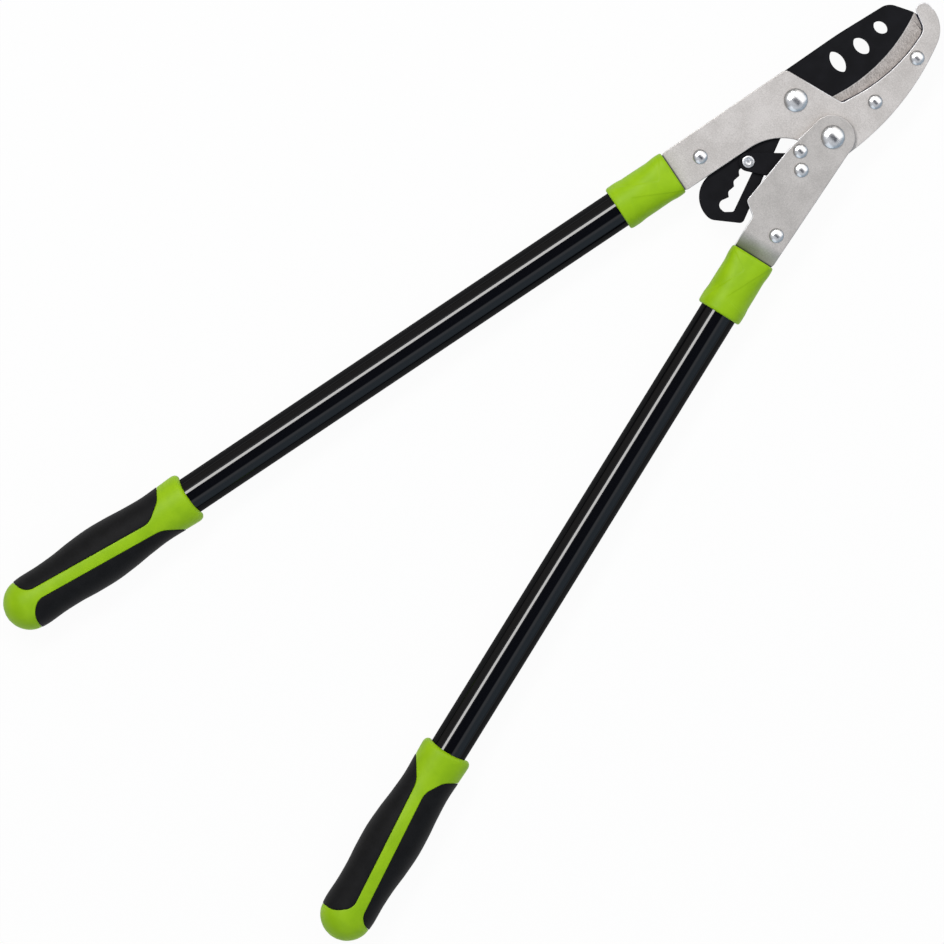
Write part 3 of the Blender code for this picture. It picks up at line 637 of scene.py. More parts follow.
print("a test square has", len(rounded([(0, 0, 2), (10, 0, 2), (10, 10, 2), (0, 10, 2)])), "points")

# %% [markdown]
# ## Plates with eased edges
#
# Blasting takes the sharpness off a stamped edge. A plate is built as outlines stacked at rising
# heights: the first and last are drawn in a little, so that the edge between face and side turns
# through a small quarter round. The light catches that round as a thin bright line, which is
# most of what makes a plate look like metal. Where the round faces left, towards the key lamp,
# it also gets a painted highlight, the lighter edge finish. Holes are stacked the same way, but
# a plate's holes are straight.

# %% Stacked plates
EASE = 0.5
EASE_STEPS = 3
HIGHLIGHT_LEAN = 0.2               # an edge gets the painted highlight if it faces right by less than this


def eased(low, high, ease=EASE):
    """Heights and insets that round the two edges of a plate."""
    turns = [math.pi / 2 * k / EASE_STEPS for k in range(EASE_STEPS + 1)]
    rise = [(low + ease * (1 - math.cos(a)), ease * (1 - math.sin(a))) for a in turns]
    return rise + [(low + high - z, amount) for z, amount in reversed(rise)]


def stacked(name, levels, holes=()):
    """A solid from outlines of equal count at rising heights, pierced by holes stacked alike."""
    vertices, faces, caps = [], [], ([], [])
    for stack in [levels, *holes]:
        start, count = len(vertices), len(stack[0][1])
        for height, outline in stack:
            vertices += [(x, y, height) for x, y in outline]
        for level in range(len(stack) - 1):
            low, high = start + level * count, start + (level + 1) * count
            for k in range(count):
                after = (k + 1) % count
                faces.append((low + k, low + after, high + after, high + k))
        top = start + (len(stack) - 1) * count
        caps[0].append(list(range(start, start + count)))
        caps[1].append(list(range(top, top + count)))
    for rims in caps:
        flat = [[Vector((*vertices[v][:2], 0.0)) for v in rim] for rim in rims]
        order = [v for rim in rims for v in rim]
        faces += [tuple(order[v] for v in corners) for corners in tessellate_polygon(flat)]
    return solid(name, vertices, faces)


def second_look(mesh, bands, chosen):
    """Gives a stack's second material to the walls that start at chosen points, in some bands."""
    for band in bands:
        for k in np.flatnonzero(chosen):
            mesh.polygons[band * len(chosen) + int(k)].material_index = 1


def plate(name, outline, low, high, holes, ease=EASE, edge_highlight=True):
    """A flat plate with straight holes and eased edges, which get a painted highlight where they face left.
    """
    levels = [(z, inset(outline, amount)) for z, amount in eased(low, high, ease)]
    mesh = stacked(name, levels, [[(low, hole), (high, hole)] for hole in holes])
    if edge_highlight:
        # Painted highlight: the edges that face left, towards the key lamp, get the lighter edge finish
        ahead = np.roll(np.array(outline), -1, axis=0) - np.array(outline)
        highlighted = turning(outline) * ahead[:, 1] < HIGHLIGHT_LEAN * np.linalg.norm(ahead, axis=1)
        second_look(mesh, [band for band in range(len(levels) - 1) if band != EASE_STEPS], highlighted)
    return mesh


print("an eased edge turns in", EASE_STEPS, "steps over", EASE, "mm")

# %% [markdown]
# ## Where everything sits
#
# The lopper is a sandwich. The blade is in the middle, the anvil plates and the link plates lie
# next to it, and the lever plates are outside. These are the same heights and places as the CAD
# model has, so each new piece drops into the place of the node it stands for.

# %% Layers, pivots and rivets
BLADE_HALF = 2.0
INNER_LAYER, INNER_TOP = 2.3, 5.3
OUTER_LAYER, OUTER_TOP = 5.6, 8.6
LINK_TOP = 4.8
GAP = 0.3

BLADE_PIVOT, LINK_PIVOT = (-34.0, 0.6), (0.2, -29.7)
SPRING_POST, RATCHET_PIN = (-8.9, -21.3), (-28.3, -49.7)
TIP_RIVET, HEEL_RIVET, ANVIL_TANG_RIVET = (3.8, 75.2), (4.0, 35.6), (-53.2, -69.1)
LEVER_RIVET = (18.1, -71.7)
LARGE_SHANK, LARGE_HEAD, LARGE_DOME = 4.0, 7.8, 2.6
SMALL_SHANK, SMALL_HEAD, SMALL_DOME = 2.5, 4.8, 1.7
PIN_SHANK, PIN_HEAD, PIN_RISE = 1.5, 3.9, 0.9


def shank_holes(radius, *places):
    """Holes for rivets of one size, with their clearance."""
    return [circle(at, radius + GAP) for at in places]


print("the stack is", 2 * OUTER_TOP, "mm thick over the lever plates")

# %% [markdown]
# ## Front and rear alike
#
# The anvil side, the lever side and the link have two plates of one shape each, one in front of
# the blade and one behind it. One function makes such a pair: it stacks the same outline on the
# front and on the rear.

# %% Pairs of plates
def plate_pair(part, outline, layer, holes, looks, ease=EASE, bend=None):
    """The front and rear plates of a part, between the two heights of a layer."""
    for which, side in (("front", 1), ("rear", -1)):
        low, high = sorted(side * height for height in layer)
        mesh = plate(f"{part}_side_plate_{which}", outline, low, high, holes, ease, edge_highlight=PAINTED_EDGE_HIGHLIGHT in looks)
        if bend:
            bend(mesh, side)
        piece(mesh, f"{part}_side", [f"{part}_plate_{which}"], looks, flat_faces=True)


print("pairs of plates are made with plate_pair()")

# %% [markdown]
# ## The anvil plates
#
# Tang, body and hooked jaw are one stamping. The tang goes down into the handle's tube, and its
# two shoulders sit in the mouth of the collar.

# %% Anvil plates
TANG_HALF_WIDTH, TANG_REACH, PLATE_SHOULDER = 8.9, 46.0, 2.0
COLLAR_PIN_AT, COLLAR_PIN_HOLE = 19.0, 2.3


def tang_corners(handle, inner, outer, first_round=5.0):
    """The shoulders in the collar's mouth and the tang that goes down the tube."""
    shoulder, end = handle.collar + PLATE_SHOULDER, handle.collar + TANG_REACH
    half = TANG_HALF_WIDTH
    sides = [(shoulder, -outer, first_round), (shoulder, -half, 1.0), (end, -half, 2.0),
             (end, half, 2.0), (shoulder, half, 1.0), (shoulder, inner, 5.0)]
    return [(*handle.point(distance, side), radius) for distance, side, radius in sides]


ANVIL_OUTLINE = rounded([
    *tang_corners(HANDLE_A, inner=14.5, outer=14.2),
    (-27.4, -12.4, 38.4),       # hollow that the link swings in
    (13.4, -12.4, 12.4),        # hub round the main pivot
    (21.9, 48.3, 176.7),        # back of the jaw
    (1.9, 105.0, 22.5),         # back of the hook
    (-21.9, 106.1, 5.3),        # point of the hook
    (-18.8, 97.2, 2.9),
    (-5.3, 91.5, 8.0),          # throat of the hook
    (1.1, 58.5, 113.9),         # anvil side of the jaw
    (-10.9, 20.4, 3.0),
    (-52.6, 10.5, 5.0),
])


def collar_pin_hole(handle):
    return circle(handle.point(handle.collar + COLLAR_PIN_AT, 0.0), COLLAR_PIN_HOLE, 24)


plate_pair("anvil", ANVIL_OUTLINE, (INNER_LAYER, INNER_TOP),
           [*shank_holes(SMALL_SHANK, TIP_RIVET, HEEL_RIVET, ANVIL_TANG_RIVET),
            *shank_holes(LARGE_SHANK, MAIN_PIVOT, BLADE_PIVOT), collar_pin_hole(HANDLE_A)],
           [ANVIL_STEEL, PAINTED_EDGE_HIGHLIGHT])
print("anvil plates:", len(ANVIL_OUTLINE), "points round each outline")

# %% [markdown]
# ## The lever plates and their joggle
#
# The lever plates lie outside the anvil plates, but their tangs go down a tube of the same size,
# so each plate steps inwards by one layer just before the collar. The flat plate is cut across
# the bend at many places, and its points are then moved along a smooth curve.

# %% Lever plates
JOGGLE_CUTS = 14

LEVER_OUTLINE = rounded([
    (-14.2, 14.1, 14.1),        # eye round the main pivot
    (-15.2, -24.0, 60.0),
    (-11.7, -68.6, 3.2),
    (-1.5, -73.2, 3.0),
    *tang_corners(HANDLE_B, inner=14.2, outer=14.4, first_round=1.5),
    (14.9, -0.5, 10.0),
    (14.3, 14.1, 14.1),
])


def step_inwards(mesh, side):
    """Bends a lever plate towards the middle between two distances down its handle."""
    along = HANDLE_B.matrix.to_3x3() @ Vector((0.0, -1.0, 0.0))
    foot = HANDLE_B.matrix.translation
    shell = bmesh.new()
    shell.from_mesh(mesh)
    for k in range(JOGGLE_CUTS + 1):
        reach = JOGGLE_START + (JOGGLE_END - JOGGLE_START) * k / JOGGLE_CUTS
        bmesh.ops.bisect_plane(shell, geom=shell.verts[:] + shell.edges[:] + shell.faces[:],
                               plane_co=foot + along * reach, plane_no=along, dist=1e-4)
    for vertex in shell.verts:
        reach = (vertex.co - foot).dot(along)
        t = min(1.0, max(0.0, (reach - JOGGLE_START) / (JOGGLE_END - JOGGLE_START)))
        vertex.co.z -= side * t * t * (3.0 - 2.0 * t) * (OUTER_LAYER - INNER_LAYER)
    bmesh.ops.triangulate(shell, faces=shell.faces[:])
    shell.to_mesh(mesh)
    shell.free()


plate_pair("lever", LEVER_OUTLINE, (OUTER_LAYER, OUTER_TOP),
           [*shank_holes(SMALL_SHANK, LINK_PIVOT, SPRING_POST, LEVER_RIVET),
            *shank_holes(LARGE_SHANK, MAIN_PIVOT), collar_pin_hole(HANDLE_B)],
           [LEVER_STEEL, PAINTED_EDGE_HIGHLIGHT], bend=step_inwards)
print("lever plates step inwards by", OUTER_LAYER - INNER_LAYER, "mm")

# %% [markdown]
# ## The blade
#
# One plate of hard steel: a nose, a straight spine, a cutting edge ground from both sides, three
# lens shaped windows and a tail with the ratchet's teeth. The flats and the edge have outlines
# with the same number of points, so the wall between them is the ground bevel, and its faces can
# be given the ground finish by counting. Only the back is eased, because the line where the
# grinding starts is crisp.

# %% Blade outlines
EDGE_HALF = 0.12
FINER = 5                       # chords here for each one of the CAD model

BLADE_BACK = [
    (-34.6, 87.8, 11.0, 5),     # nose
    (-44.3, 50.0, 200.0, 1),    # spine
    (-53.6, 3.5, 5.0, 3),
    (-46.0, -16.0, 15.0, 2),
    (-43.5, -45.0, 60.0, 1),
    (-39.2, -93.9, 18.2, 8),    # round foot of the tail
    (-19.8, -93.9, 8.0, 3),
    (-3.1, -81.0, 3.2, 5),
    (-24.4, -22.7, 12.0, 3),
    (-20.5, -5.0, 0.0),
]
CUTTING_EDGE = [(-8.0, 21.2, 3.0, 2), (3.95, 59.86, EDGE_RADIUS, 10), (-5.3, 100.0, 9.0, 4)]
GRIND_LINE = [(-19.35, 16.3, 2.0, 2), (-6.32, 56.90, WHEEL_RADIUS, 10), (-18.27, 95.45, 1.2, 4)]


def finer(corners):
    return [(x, y, radius, *(FINER * n for n in chords)) for x, y, radius, *chords in corners]


FLANK, EDGE = (rounded(finer(front + BLADE_BACK)) for front in (GRIND_LINE, CUTTING_EDGE))
GROUND_POINTS = sum(FINER * chords + 1 for *_, chords in GRIND_LINE)
print("blade outline:", len(FLANK), "points,", GROUND_POINTS, "of them along the grind line")

# %% [markdown]
# ## The windows and the ratchet's slot
#
# The windows look like eyes. The overlap of two arcs would be too pointed and an ellipse too
# blunt, so each window is the mean of both. The slot in the tail is one outline too: teeth down
# one side, a round foot and a straight back. All of them get a very small ease, because they were
# punched before coating.

# %% Windows and teeth
# Middle, length, width and turn in degrees
LENS_HOLES = [((-31.6, 37.6), 15.4, 8.4, -11.0), ((-27.7, 55.7), 12.8, 8.4, -1.0),
              ((-27.1, 73.0), 10.0, 7.2, 9.0)]
TOOTH_COUNT, FIRST_TOOTH, TOOTH_PITCH = 4, (-28.5, -52.9), (2.35, -7.4)


def lens(at, length, width, degrees, count=36):
    """Halfway between an ellipse and two arcs that meet in points, its long axis turned from +X."""
    half, rise = length / 2, width / 2
    radius = (half * half + rise * rise) / (2 * rise)
    turn = Matrix.Rotation(math.radians(degrees), 2)
    points = []
    for k in range(2 * count):
        angle = math.pi * k / count
        x = half * math.cos(angle)
        arc = math.sqrt(radius * radius - x * x) - radius + rise
        here = turn @ Vector((x, 0.5 * (math.copysign(arc, math.sin(angle)) + rise * math.sin(angle))))
        points.append((at[0] + here.x, at[1] + here.y))
    return points


def ratchet_slot():
    corners = [(-24.2, -45.6, 2.4), (-31.8, -45.6, 2.4), (-31.4, -51.6, 1.0)]
    for tooth in range(TOOTH_COUNT):
        x, y = (FIRST_TOOTH[axis] + tooth * TOOTH_PITCH[axis] for axis in (0, 1))
        corners.append((x, y, 0.3))
        if tooth < TOOTH_COUNT - 1:
            corners.append((x - 0.5, y - 5.1, 2.4))
    return rounded(corners + [(-25.2, -84.2, 3.7), (-17.1, -84.2, 2.5), (-12.7, -79.8, 2.0)])


print("slot outline:", len(ratchet_slot()), "points")

# %% [markdown]
# ## Stacking the blade
#
# From the rear to the front, the stack is the flank with its back eased, the two outlines of the
# edge close to the middle, and the flank again. The walls between flank and edge are the two
# bevels, and they get the ground finish.

# %% Blade
BLADE_EASE, WINDOW_EASE = 0.25, 0.18


def blade():
    on_back = np.arange(len(FLANK)) >= GROUND_POINTS
    rise = eased(-BLADE_HALF, BLADE_HALF, BLADE_EASE)
    low = [(z, inset(FLANK, amount, on_back)) for z, amount in rise[:EASE_STEPS + 1]]
    high = [(-z, outline) for z, outline in reversed(low)]
    levels = low + [(-EDGE_HALF, EDGE), (EDGE_HALF, EDGE)] + high
    holes = [[(z, inset(hole, -amount)) for z, amount in eased(-BLADE_HALF, BLADE_HALF, WINDOW_EASE)]
             for hole in [lens(*hole) for hole in LENS_HOLES] + [ratchet_slot()]]
    holes += [[(-BLADE_HALF, hole), (BLADE_HALF, hole)] for hole in shank_holes(LARGE_SHANK, BLADE_PIVOT)]
    mesh = stacked("pierced_blade", levels, holes)
    piece(mesh, "blade_side", ["blade"], [COATED_STEEL, GROUND_STEEL],
          sharp=10.0, flat_faces=True)
    second_look(mesh, range(EASE_STEPS, EASE_STEPS + 3), np.arange(len(FLANK)) < GROUND_POINTS - 1)


blade()
print("blade made with", TOOTH_COUNT, "teeth and", len(LENS_HOLES), "windows")

# %% [markdown]
# ## The link
#
# Two black plates hang between the lever plates and carry a headed pin through the slot. Their
# outline is drawn along the line between the two pivots, with a shoulder and a hollow on the side
# of the spring's post.

# %% Link plates
LINK_EASE = 0.3

# Distance from the link pivot towards the pin, distance across towards the anvil side
LINK_CORNERS = [
    (-8.6, -9.0, 8.5),          # round end about the link pivot
    (41.0, -5.8, 6.0),          # round end about the ratchet pin
    (41.0, 5.3, 6.0),
    (10.6, 9.5, 1.5),           # shoulder
    (6.6, 7.6, 3.0),            # hollow that clears the spring's post
    (-8.6, 8.0, 7.9),
]


def link_outline():
    run = (Vector(RATCHET_PIN) - Vector(LINK_PIVOT)).normalized()
    return rounded([(LINK_PIVOT[0] + along * run.x + across * run.y,
                     LINK_PIVOT[1] + along * run.y - across * run.x, radius)
                    for along, across, radius in LINK_CORNERS])


plate_pair("link", link_outline(), (INNER_LAYER, LINK_TOP),
           [*shank_holes(PIN_SHANK, RATCHET_PIN), *shank_holes(SMALL_SHANK, LINK_PIVOT)],
           [COATED_STEEL], LINK_EASE)
print("link plates are", round(LINK_TOP - INNER_LAYER, 1), "mm thick")

# %% [markdown]
# ## The ratchet's pin
#
# The pin is turned on a lathe, so its shape is a profile carried round its axis. Each head has a
# shallow dish. Only one half of the profile is written down, from beside the link plate to the
# middle of the dish, and the other end mirrors it.

# %% Ratchet pin
PIN_RIM = [(0.0, 0.35), (0.1, 0.1), (0.4, 0.0)]     # in from the rim, down from the top
# The dish: share of the head's radius, depth
PIN_DISH = [(0.62, 0.0), (0.59, 0.10), (0.56, 0.40), (0.48, 0.62), (0.34, 0.76), (0.17, 0.83), (0.0, 0.85)]


def turned(name, profile, at, count=64):
    """A solid of revolution about Z from (radius, height) points, closed at both ends."""
    vertices, faces, rings = [], [], []
    for radius, height in profile:
        rings.append(list(range(len(vertices), len(vertices) + (count if radius else 1))))
        vertices += [(x, y, height) for x, y in (circle(at, radius, count) if radius else [at])]
    for low, high in zip(rings, rings[1:]):
        for k in range(count):
            corners = [low[k % len(low)], low[(k + 1) % len(low)],
                       high[(k + 1) % len(high)], high[k % len(high)]]
            faces.append(tuple(dict.fromkeys(corners)))
    return solid(name, vertices, faces)


def pin_profile():
    """The pin's profile as (radius, height) points, from its rear end to its front end."""
    foot = LINK_TOP + GAP
    top = foot + PIN_RISE
    half = [(PIN_SHANK, foot), (PIN_HEAD - 0.1, foot), (PIN_HEAD, foot + 0.1)]
    half += [(PIN_HEAD - inwards, top - drop) for inwards, drop in PIN_RIM]
    half += [(PIN_HEAD * share, top - depth) for share, depth in PIN_DISH]
    return [(radius, -height) for radius, height in reversed(half)] + half


piece(turned("ratchet_head_pin", pin_profile(), RATCHET_PIN), "link_side", ["ratchet_pin"],
      [PIN_STEEL])
print("the pin's profile has", len(pin_profile()), "points")

# %% [markdown]
# ## Geometry Nodes for what repeats
#
# `ShapeTree` is a Geometry Nodes tree with named inputs for its sizes. Every tree ends the same
# way, in Realize Instances and Set Material.

# %% Trees that make shapes
class ShapeTree(NodeTree):
    """A Geometry Nodes tree with named inputs."""

    def __init__(self, name, inputs):
        super().__init__(bpy.data.node_groups.new(name, "GeometryNodeTree"))
        for in_out in ("INPUT", "OUTPUT"):
            self.tree.interface.new_socket("Geometry", in_out=in_out, socket_type="NodeSocketGeometry")
        self.identifiers = {}
        for label, kind in inputs.items():
            socket = self.tree.interface.new_socket(label, in_out="INPUT", socket_type=f"NodeSocket{kind}")
            self.identifiers[label] = socket.identifier
        self.start = self.tree.nodes.new("NodeGroupInput")
        self.end = self.tree.nodes.new("NodeGroupOutput")

    def given(self, label):
        """One of the tree's inputs."""
        return Signal(self, self.start.outputs[label])

    def finish(self, geometry):
        """Ends the tree, as every tree here ends, in Realize Instances and Set Material."""
        real = self.node("GeometryNodeRealizeInstances", {"Geometry": geometry})
        coloured = self.node("GeometryNodeSetMaterial",
                             {"Geometry": real, "Material": self.given("Material")})
        self.feed(self.end.inputs["Geometry"], coloured)

    def run(self, name, mesh, **values):
        """Evaluates the tree on a mesh and returns the result as a plain mesh."""
        carrier = bpy.data.objects.new(name, mesh)
        bpy.context.scene.collection.objects.link(carrier)
        modifier = carrier.modifiers.new(self.tree.name, "NODES")
        modifier.node_group = self.tree
        for label, value in values.items():
            modifier[self.identifiers[label.replace("_", " ")]] = value
        evaluated = carrier.evaluated_get(bpy.context.evaluated_depsgraph_get())
        result = bpy.data.meshes.new_from_object(evaluated)
        result.name = name
        result.materials.clear()
        carrier.modifiers.remove(modifier)
        bpy.data.objects.remove(carrier)
        return result


print("shapes that repeat are written with ShapeTree")

# %% [markdown]
# ## Rivets by Geometry Nodes
#
# Eight rivets of two sizes hold the tool together, and each has a shank and two domed heads.
# That is a rule, so it is written once as a node tree. The input is a mesh of loose edges, one
# edge for each rivet from head to head. The tree carries a circle along the edges for the
# shanks, and puts a dome on every end point, turned over on the rear. The dome is a ball pressed
# flat: its height is mostly the square of the ball's height, which is a shallow cap, with a
# little of the height itself and a low step to round the rim.

# %% The rivet tree
RIM_STEP, DOME_ROUND, DOME_CAP = 0.12, 0.20, 0.68       # shares of the dome's height


def rivet_tree():
    tree = ShapeTree("domed_rivets", {"Head Radius": "Float", "Dome Height": "Float",
                                      "Shank Radius": "Float", "Sides": "Int", "Material": "Material"})
    head, sides = tree.given("Head Radius"), tree.given("Sides")
    ball = tree.node("GeometryNodeMeshUVSphere", {"Segments": sides, "Rings": 24, "Radius": 1.0})
    x, y, z = tree.axes(tree.node("GeometryNodeInputPosition"))
    level = z.math("MAXIMUM", 0.0)
    height = z.math("GREATER_THAN", -0.01) * RIM_STEP + (level * level * DOME_CAP + level * DOME_ROUND)
    spot = tree.node("ShaderNodeCombineXYZ",
                     {"X": x * head, "Y": y * head, "Z": height * tree.given("Dome Height")})
    dome = tree.node("GeometryNodeSetPosition", {"Geometry": ball, "Position": spot})
    turn = tree.node("ShaderNodeCombineXYZ", {"X": z.math("LESS_THAN", 0.0) * math.pi})
    heads = tree.node("GeometryNodeInstanceOnPoints",
                      {"Points": tree.given("Geometry"), "Instance": dome,
                       "Rotation": tree.node("FunctionNodeEulerToRotation", {"Euler": turn})})
    line = tree.node("GeometryNodeMeshToCurve", {"Mesh": tree.given("Geometry")})
    section = tree.node("GeometryNodeCurvePrimitiveCircle",
                        {"Resolution": sides, "Radius": tree.given("Shank Radius")})
    shank = tree.node("GeometryNodeCurveToMesh",
                      {"Curve": line, "Profile Curve": section, "Fill Caps": True})
    both = tree.node("GeometryNodeJoinGeometry", {0: heads})
    tree.feed(both.socket.node.inputs[0], shank)
    tree.finish(both)
    return tree


RIVET_TREE = rivet_tree()
print("the rivet tree has", len(RIVET_TREE.tree.nodes), "nodes")

# %% [markdown]
# ## Placing the rivets
#
# Each size of rivet on each body is one run of the tree, apart from the two large rivets, which
# span different layers: the main pivot holds the lever plates too, and the blade's pivot only
# the anvil plates.

# %% Rivets
LARGE, SMALL = (LARGE_HEAD, LARGE_DOME, LARGE_SHANK), (SMALL_HEAD, SMALL_DOME, SMALL_SHANK)


def rivets(name, body, base, size, seats):
    """One piece from rivets of one size: seats are {node: place}, on faces at the height base."""
    posts = bpy.data.meshes.new(name)
    ends = [(*at, sign * (base + GAP)) for at in seats.values() for sign in (1, -1)]
    posts.from_pydata(ends, [(k, k + 1) for k in range(0, len(ends), 2)], [])
    head, dome, shank = size
    mesh = RIVET_TREE.run(name, posts, Head_Radius=head, Dome_Height=dome, Shank_Radius=shank,
                          Sides=48, Material=RIVET_STEEL)
    piece(mesh, body, list(seats), [RIVET_STEEL], sharp=40.0)


rivets("main_rivet", "anvil_side", OUTER_TOP, LARGE, {"main_pivot_rivet": MAIN_PIVOT})
rivets("blade_rivet", "anvil_side", INNER_TOP, LARGE, {"blade_pivot_rivet": BLADE_PIVOT})
rivets("anvil_small_rivets", "anvil_side", INNER_TOP, SMALL,
       {"anvil_rivet_tip": TIP_RIVET, "anvil_rivet_heel": HEEL_RIVET, "anvil_tang_rivet": ANVIL_TANG_RIVET})
rivets("lever_small_rivets", "lever_side", OUTER_TOP, SMALL,
       {"lever_rivet": LEVER_RIVET, "link_pivot_rivet": LINK_PIVOT, "spring_post_rivet": SPRING_POST})
print("eight rivets from one tree")

# %% [markdown]
# ## The tubes by Geometry Nodes
#
# A tube follows a rule as well: a small rectangle, the section of its wall, is carried round a
# circle. The rectangle is as tall as the tube is long and has filleted corners, so the tube is
# hollow and its ends are eased.

# %% Handle tubes
TUBE_RADIUS, TUBE_WALL, TUBE_START, TUBE_IN_GRIP = 12.5, 1.5, 5.0, 124.0
TUBE_EASE = 0.3


def tube_tree():
    tree = ShapeTree("walled_tube", {"Radius": "Float", "Wall": "Float", "Length": "Float",
                                     "Ease": "Float", "Sides": "Int", "Material": "Material"})
    middle = tree.given("Radius") - tree.given("Wall") * 0.5
    ring = tree.node("GeometryNodeCurvePrimitiveCircle",
                     {"Resolution": tree.given("Sides"), "Radius": middle})
    wall = tree.node("GeometryNodeCurvePrimitiveQuadrilateral",
                     {"Width": tree.given("Wall"), "Height": tree.given("Length")})
    soft = tree.node("GeometryNodeFilletCurve", {"Curve": wall, "Radius": tree.given("Ease")})
    tree.finish(tree.node("GeometryNodeCurveToMesh", {"Curve": ring, "Profile Curve": soft}))
    return tree


TUBE_TREE = tube_tree()


def handle_tube(handle):
    start, end = handle.collar + TUBE_START, handle.grip + TUBE_IN_GRIP
    mesh = TUBE_TREE.run(f"tube_{handle.letter}", bpy.data.meshes.new("tube_seed"), Radius=TUBE_RADIUS,
                         Wall=TUBE_WALL, Length=end - start, Ease=TUBE_EASE, Sides=96, Material=TUBE_PAINT)
    lie = Matrix.Translation((0.0, -(start + end) / 2, 0.0)) @ Matrix.Rotation(math.pi / 2, 4, "X")
    return piece(mesh, handle.body, [f"handle_tube_{handle.letter}"], [TUBE_PAINT],
                 handle.matrix @ lie, flat_faces=True)


for handle in HANDLES:
    made = handle_tube(handle)
    print(made.name, [round(v * 1000, 1) for v in made.dimensions])

# %% [markdown]
# ## Smooth profiles
#
# The collars and grips were drawn as a few stations with a width each. A curve through those
# stations that never overshoots keeps the piece inside the CAD model's box. Its slopes are the
# harmonic means of the neighbouring ones, and flat where the profile turns round.

# %% A curve through stations
def through(stations, at):
    """Values at a distance, from rows (distance, value, ...), without overshoot."""
    rows = np.array(stations, dtype=float)
    x, y = rows[:, 0], rows[:, 1:]
    slopes = np.diff(y, axis=0) / np.diff(x)[:, None]
    tangents = np.vstack([slopes[:1], np.zeros_like(slopes[1:]), slopes[-1:]])
    same = slopes[:-1] * slopes[1:] > 0
    total = np.where(same, slopes[:-1] + slopes[1:], 1.0)
    tangents[1:-1] = np.where(same, 2.0 * slopes[:-1] * slopes[1:] / total, 0.0)
    k = int(np.clip(np.searchsorted(x, at, side="right") - 1, 0, len(x) - 2))
    width = x[k + 1] - x[k]
    t = float(np.clip((at - x[k]) / width, 0.0, 1.0))
    return ((1 + 2 * t) * (1 - t) ** 2 * y[k] + t * (1 - t) ** 2 * width * tangents[k]
            + t * t * (3 - 2 * t) * y[k + 1] + t * t * (t - 1) * width * tangents[k + 1])


print("halfway between 0 and 10:", through([(0, 0), (1, 10)], 0.5))

# %% [markdown]
# ## The collars
#
# A collar is a moulded sleeve: a flat block where the plates enter it, which turns round as it
# meets the tube. Its section is a superellipse, |x|^p + |z|^p = 1, whose power falls from 3.4, a
# rounded block, to 2, a circle.

# %% Collars
COLLAR_LENGTH, COLLAR_POCKET = 43.0, 3.0
COLLAR_SIDES = 96
# Distance from the mouth, half width, half depth and power of the section
COLLAR_PROFILE = [
    (0.0, 14.7, 11.6, 3.4), (0.5, 15.1, 12.2, 3.4), (1.3, 15.35, 12.7, 3.4), (2.6, 15.45, 13.0, 3.3),
    (5.0, 15.5, 13.1, 3.2), (12.0, 14.95, 13.9, 2.6), (24.0, 15.1, 15.0, 2.1), (30.0, 15.1, 15.1, 2.0),
    (36.0, 15.6, 15.5, 2.0), (41.0, 15.5, 15.5, 2.0), (42.3, 15.2, 15.2, 2.0),
    (COLLAR_LENGTH, 14.4, 14.4, 2.0),
]
# Half width, half depth and power
COLLAR_BORE = (TUBE_RADIUS + GAP, TUBE_RADIUS + GAP, 2.0)
COLLAR_MOUTH = (14.2, 7.5, 6.0)
# Rings, closer where the mouth and the far end are rounded
COLLAR_RINGS = [0.0, 0.15, 0.35, 0.6, 1.0, 1.5, 2.1, *np.linspace(2.8, 42.0, 42),
                42.3, 42.6, 42.85, COLLAR_LENGTH]


def section(distance, half_width, half_height, power=2.0, count=COLLAR_SIDES):
    """One ring across a handle."""
    ring = []
    for k in range(count):
        c, s = math.cos(2 * math.pi * k / count), math.sin(2 * math.pi * k / count)
        ring.append((half_width * math.copysign(abs(c) ** (2 / power), c), -distance,
                     half_height * math.copysign(abs(s) ** (2 / power), s)))
    return ring


def loft(name, rings):
    """A closed skin over rings of equal count, the last joined to the first."""
    count = len(rings[0])
    vertices = [v for ring in rings for v in ring]
    faces = []
    for level in range(len(rings)):
        low, high = level * count, (level + 1) % len(rings) * count
        faces += [(low + k, low + (k + 1) % count, high + (k + 1) % count, high + k) for k in range(count)]
    return solid(name, vertices, faces)


def collar(handle):
    outside = [section(handle.collar + d, *through(COLLAR_PROFILE, d)) for d in COLLAR_RINGS]
    inside = [section(handle.collar + d, *shape) for d, shape in
              ((COLLAR_LENGTH, COLLAR_BORE), (TUBE_START, COLLAR_BORE),
               (COLLAR_POCKET, COLLAR_MOUTH), (0.0, COLLAR_MOUTH))]
    letter = handle.letter
    plastic = green_plastic(f"lime_green_collar_{letter}", handle)
    piece(loft(f"moulded_collar_{letter}", outside + inside), handle.body, [f"collar_{letter}"],
          [plastic], handle.matrix, sharp=40.0)


for handle in HANDLES:
    collar(handle)
print("collars made from", len(COLLAR_RINGS), "rings each")

# %% [markdown]
# ## The grips, unrolled
#
# A grip is a green core with two soft panels let into it, and the borders between them curve
# round the grip. The surface is unrolled onto a plane, where one axis is the angle round the
# grip and the other the distance along its profile. On that plane the panels' borders are
# ordinary outlines, so a triangulation can follow them exactly, and then it is rolled up again.

# %% Grip profile
GRIP_LENGTH, GRIP_FLATTENING, GRIP_ROLL = 143.4, 0.91, 17.6
GRIP_PROFILE = [
    (0.0, 14.6), (1.0, 16.5), (4.0, 17.5), (12.0, 17.2), (27.0, 16.6), (42.0, 17.5), (56.0, 18.9),
    (70.0, 19.6), (84.0, 19.0), (98.0, 17.8), (109.0, 17.5), (122.0, 17.9), (130.0, 17.2),
    (135.0, 15.2), (139.2, 11.6), (142.1, 7.0), (GRIP_LENGTH, 2.4),
]
MOUTH_SCOOP, SCOOP_REACH = 2.2, 12.0        # the mouth's hollow front and rear, and where it ends


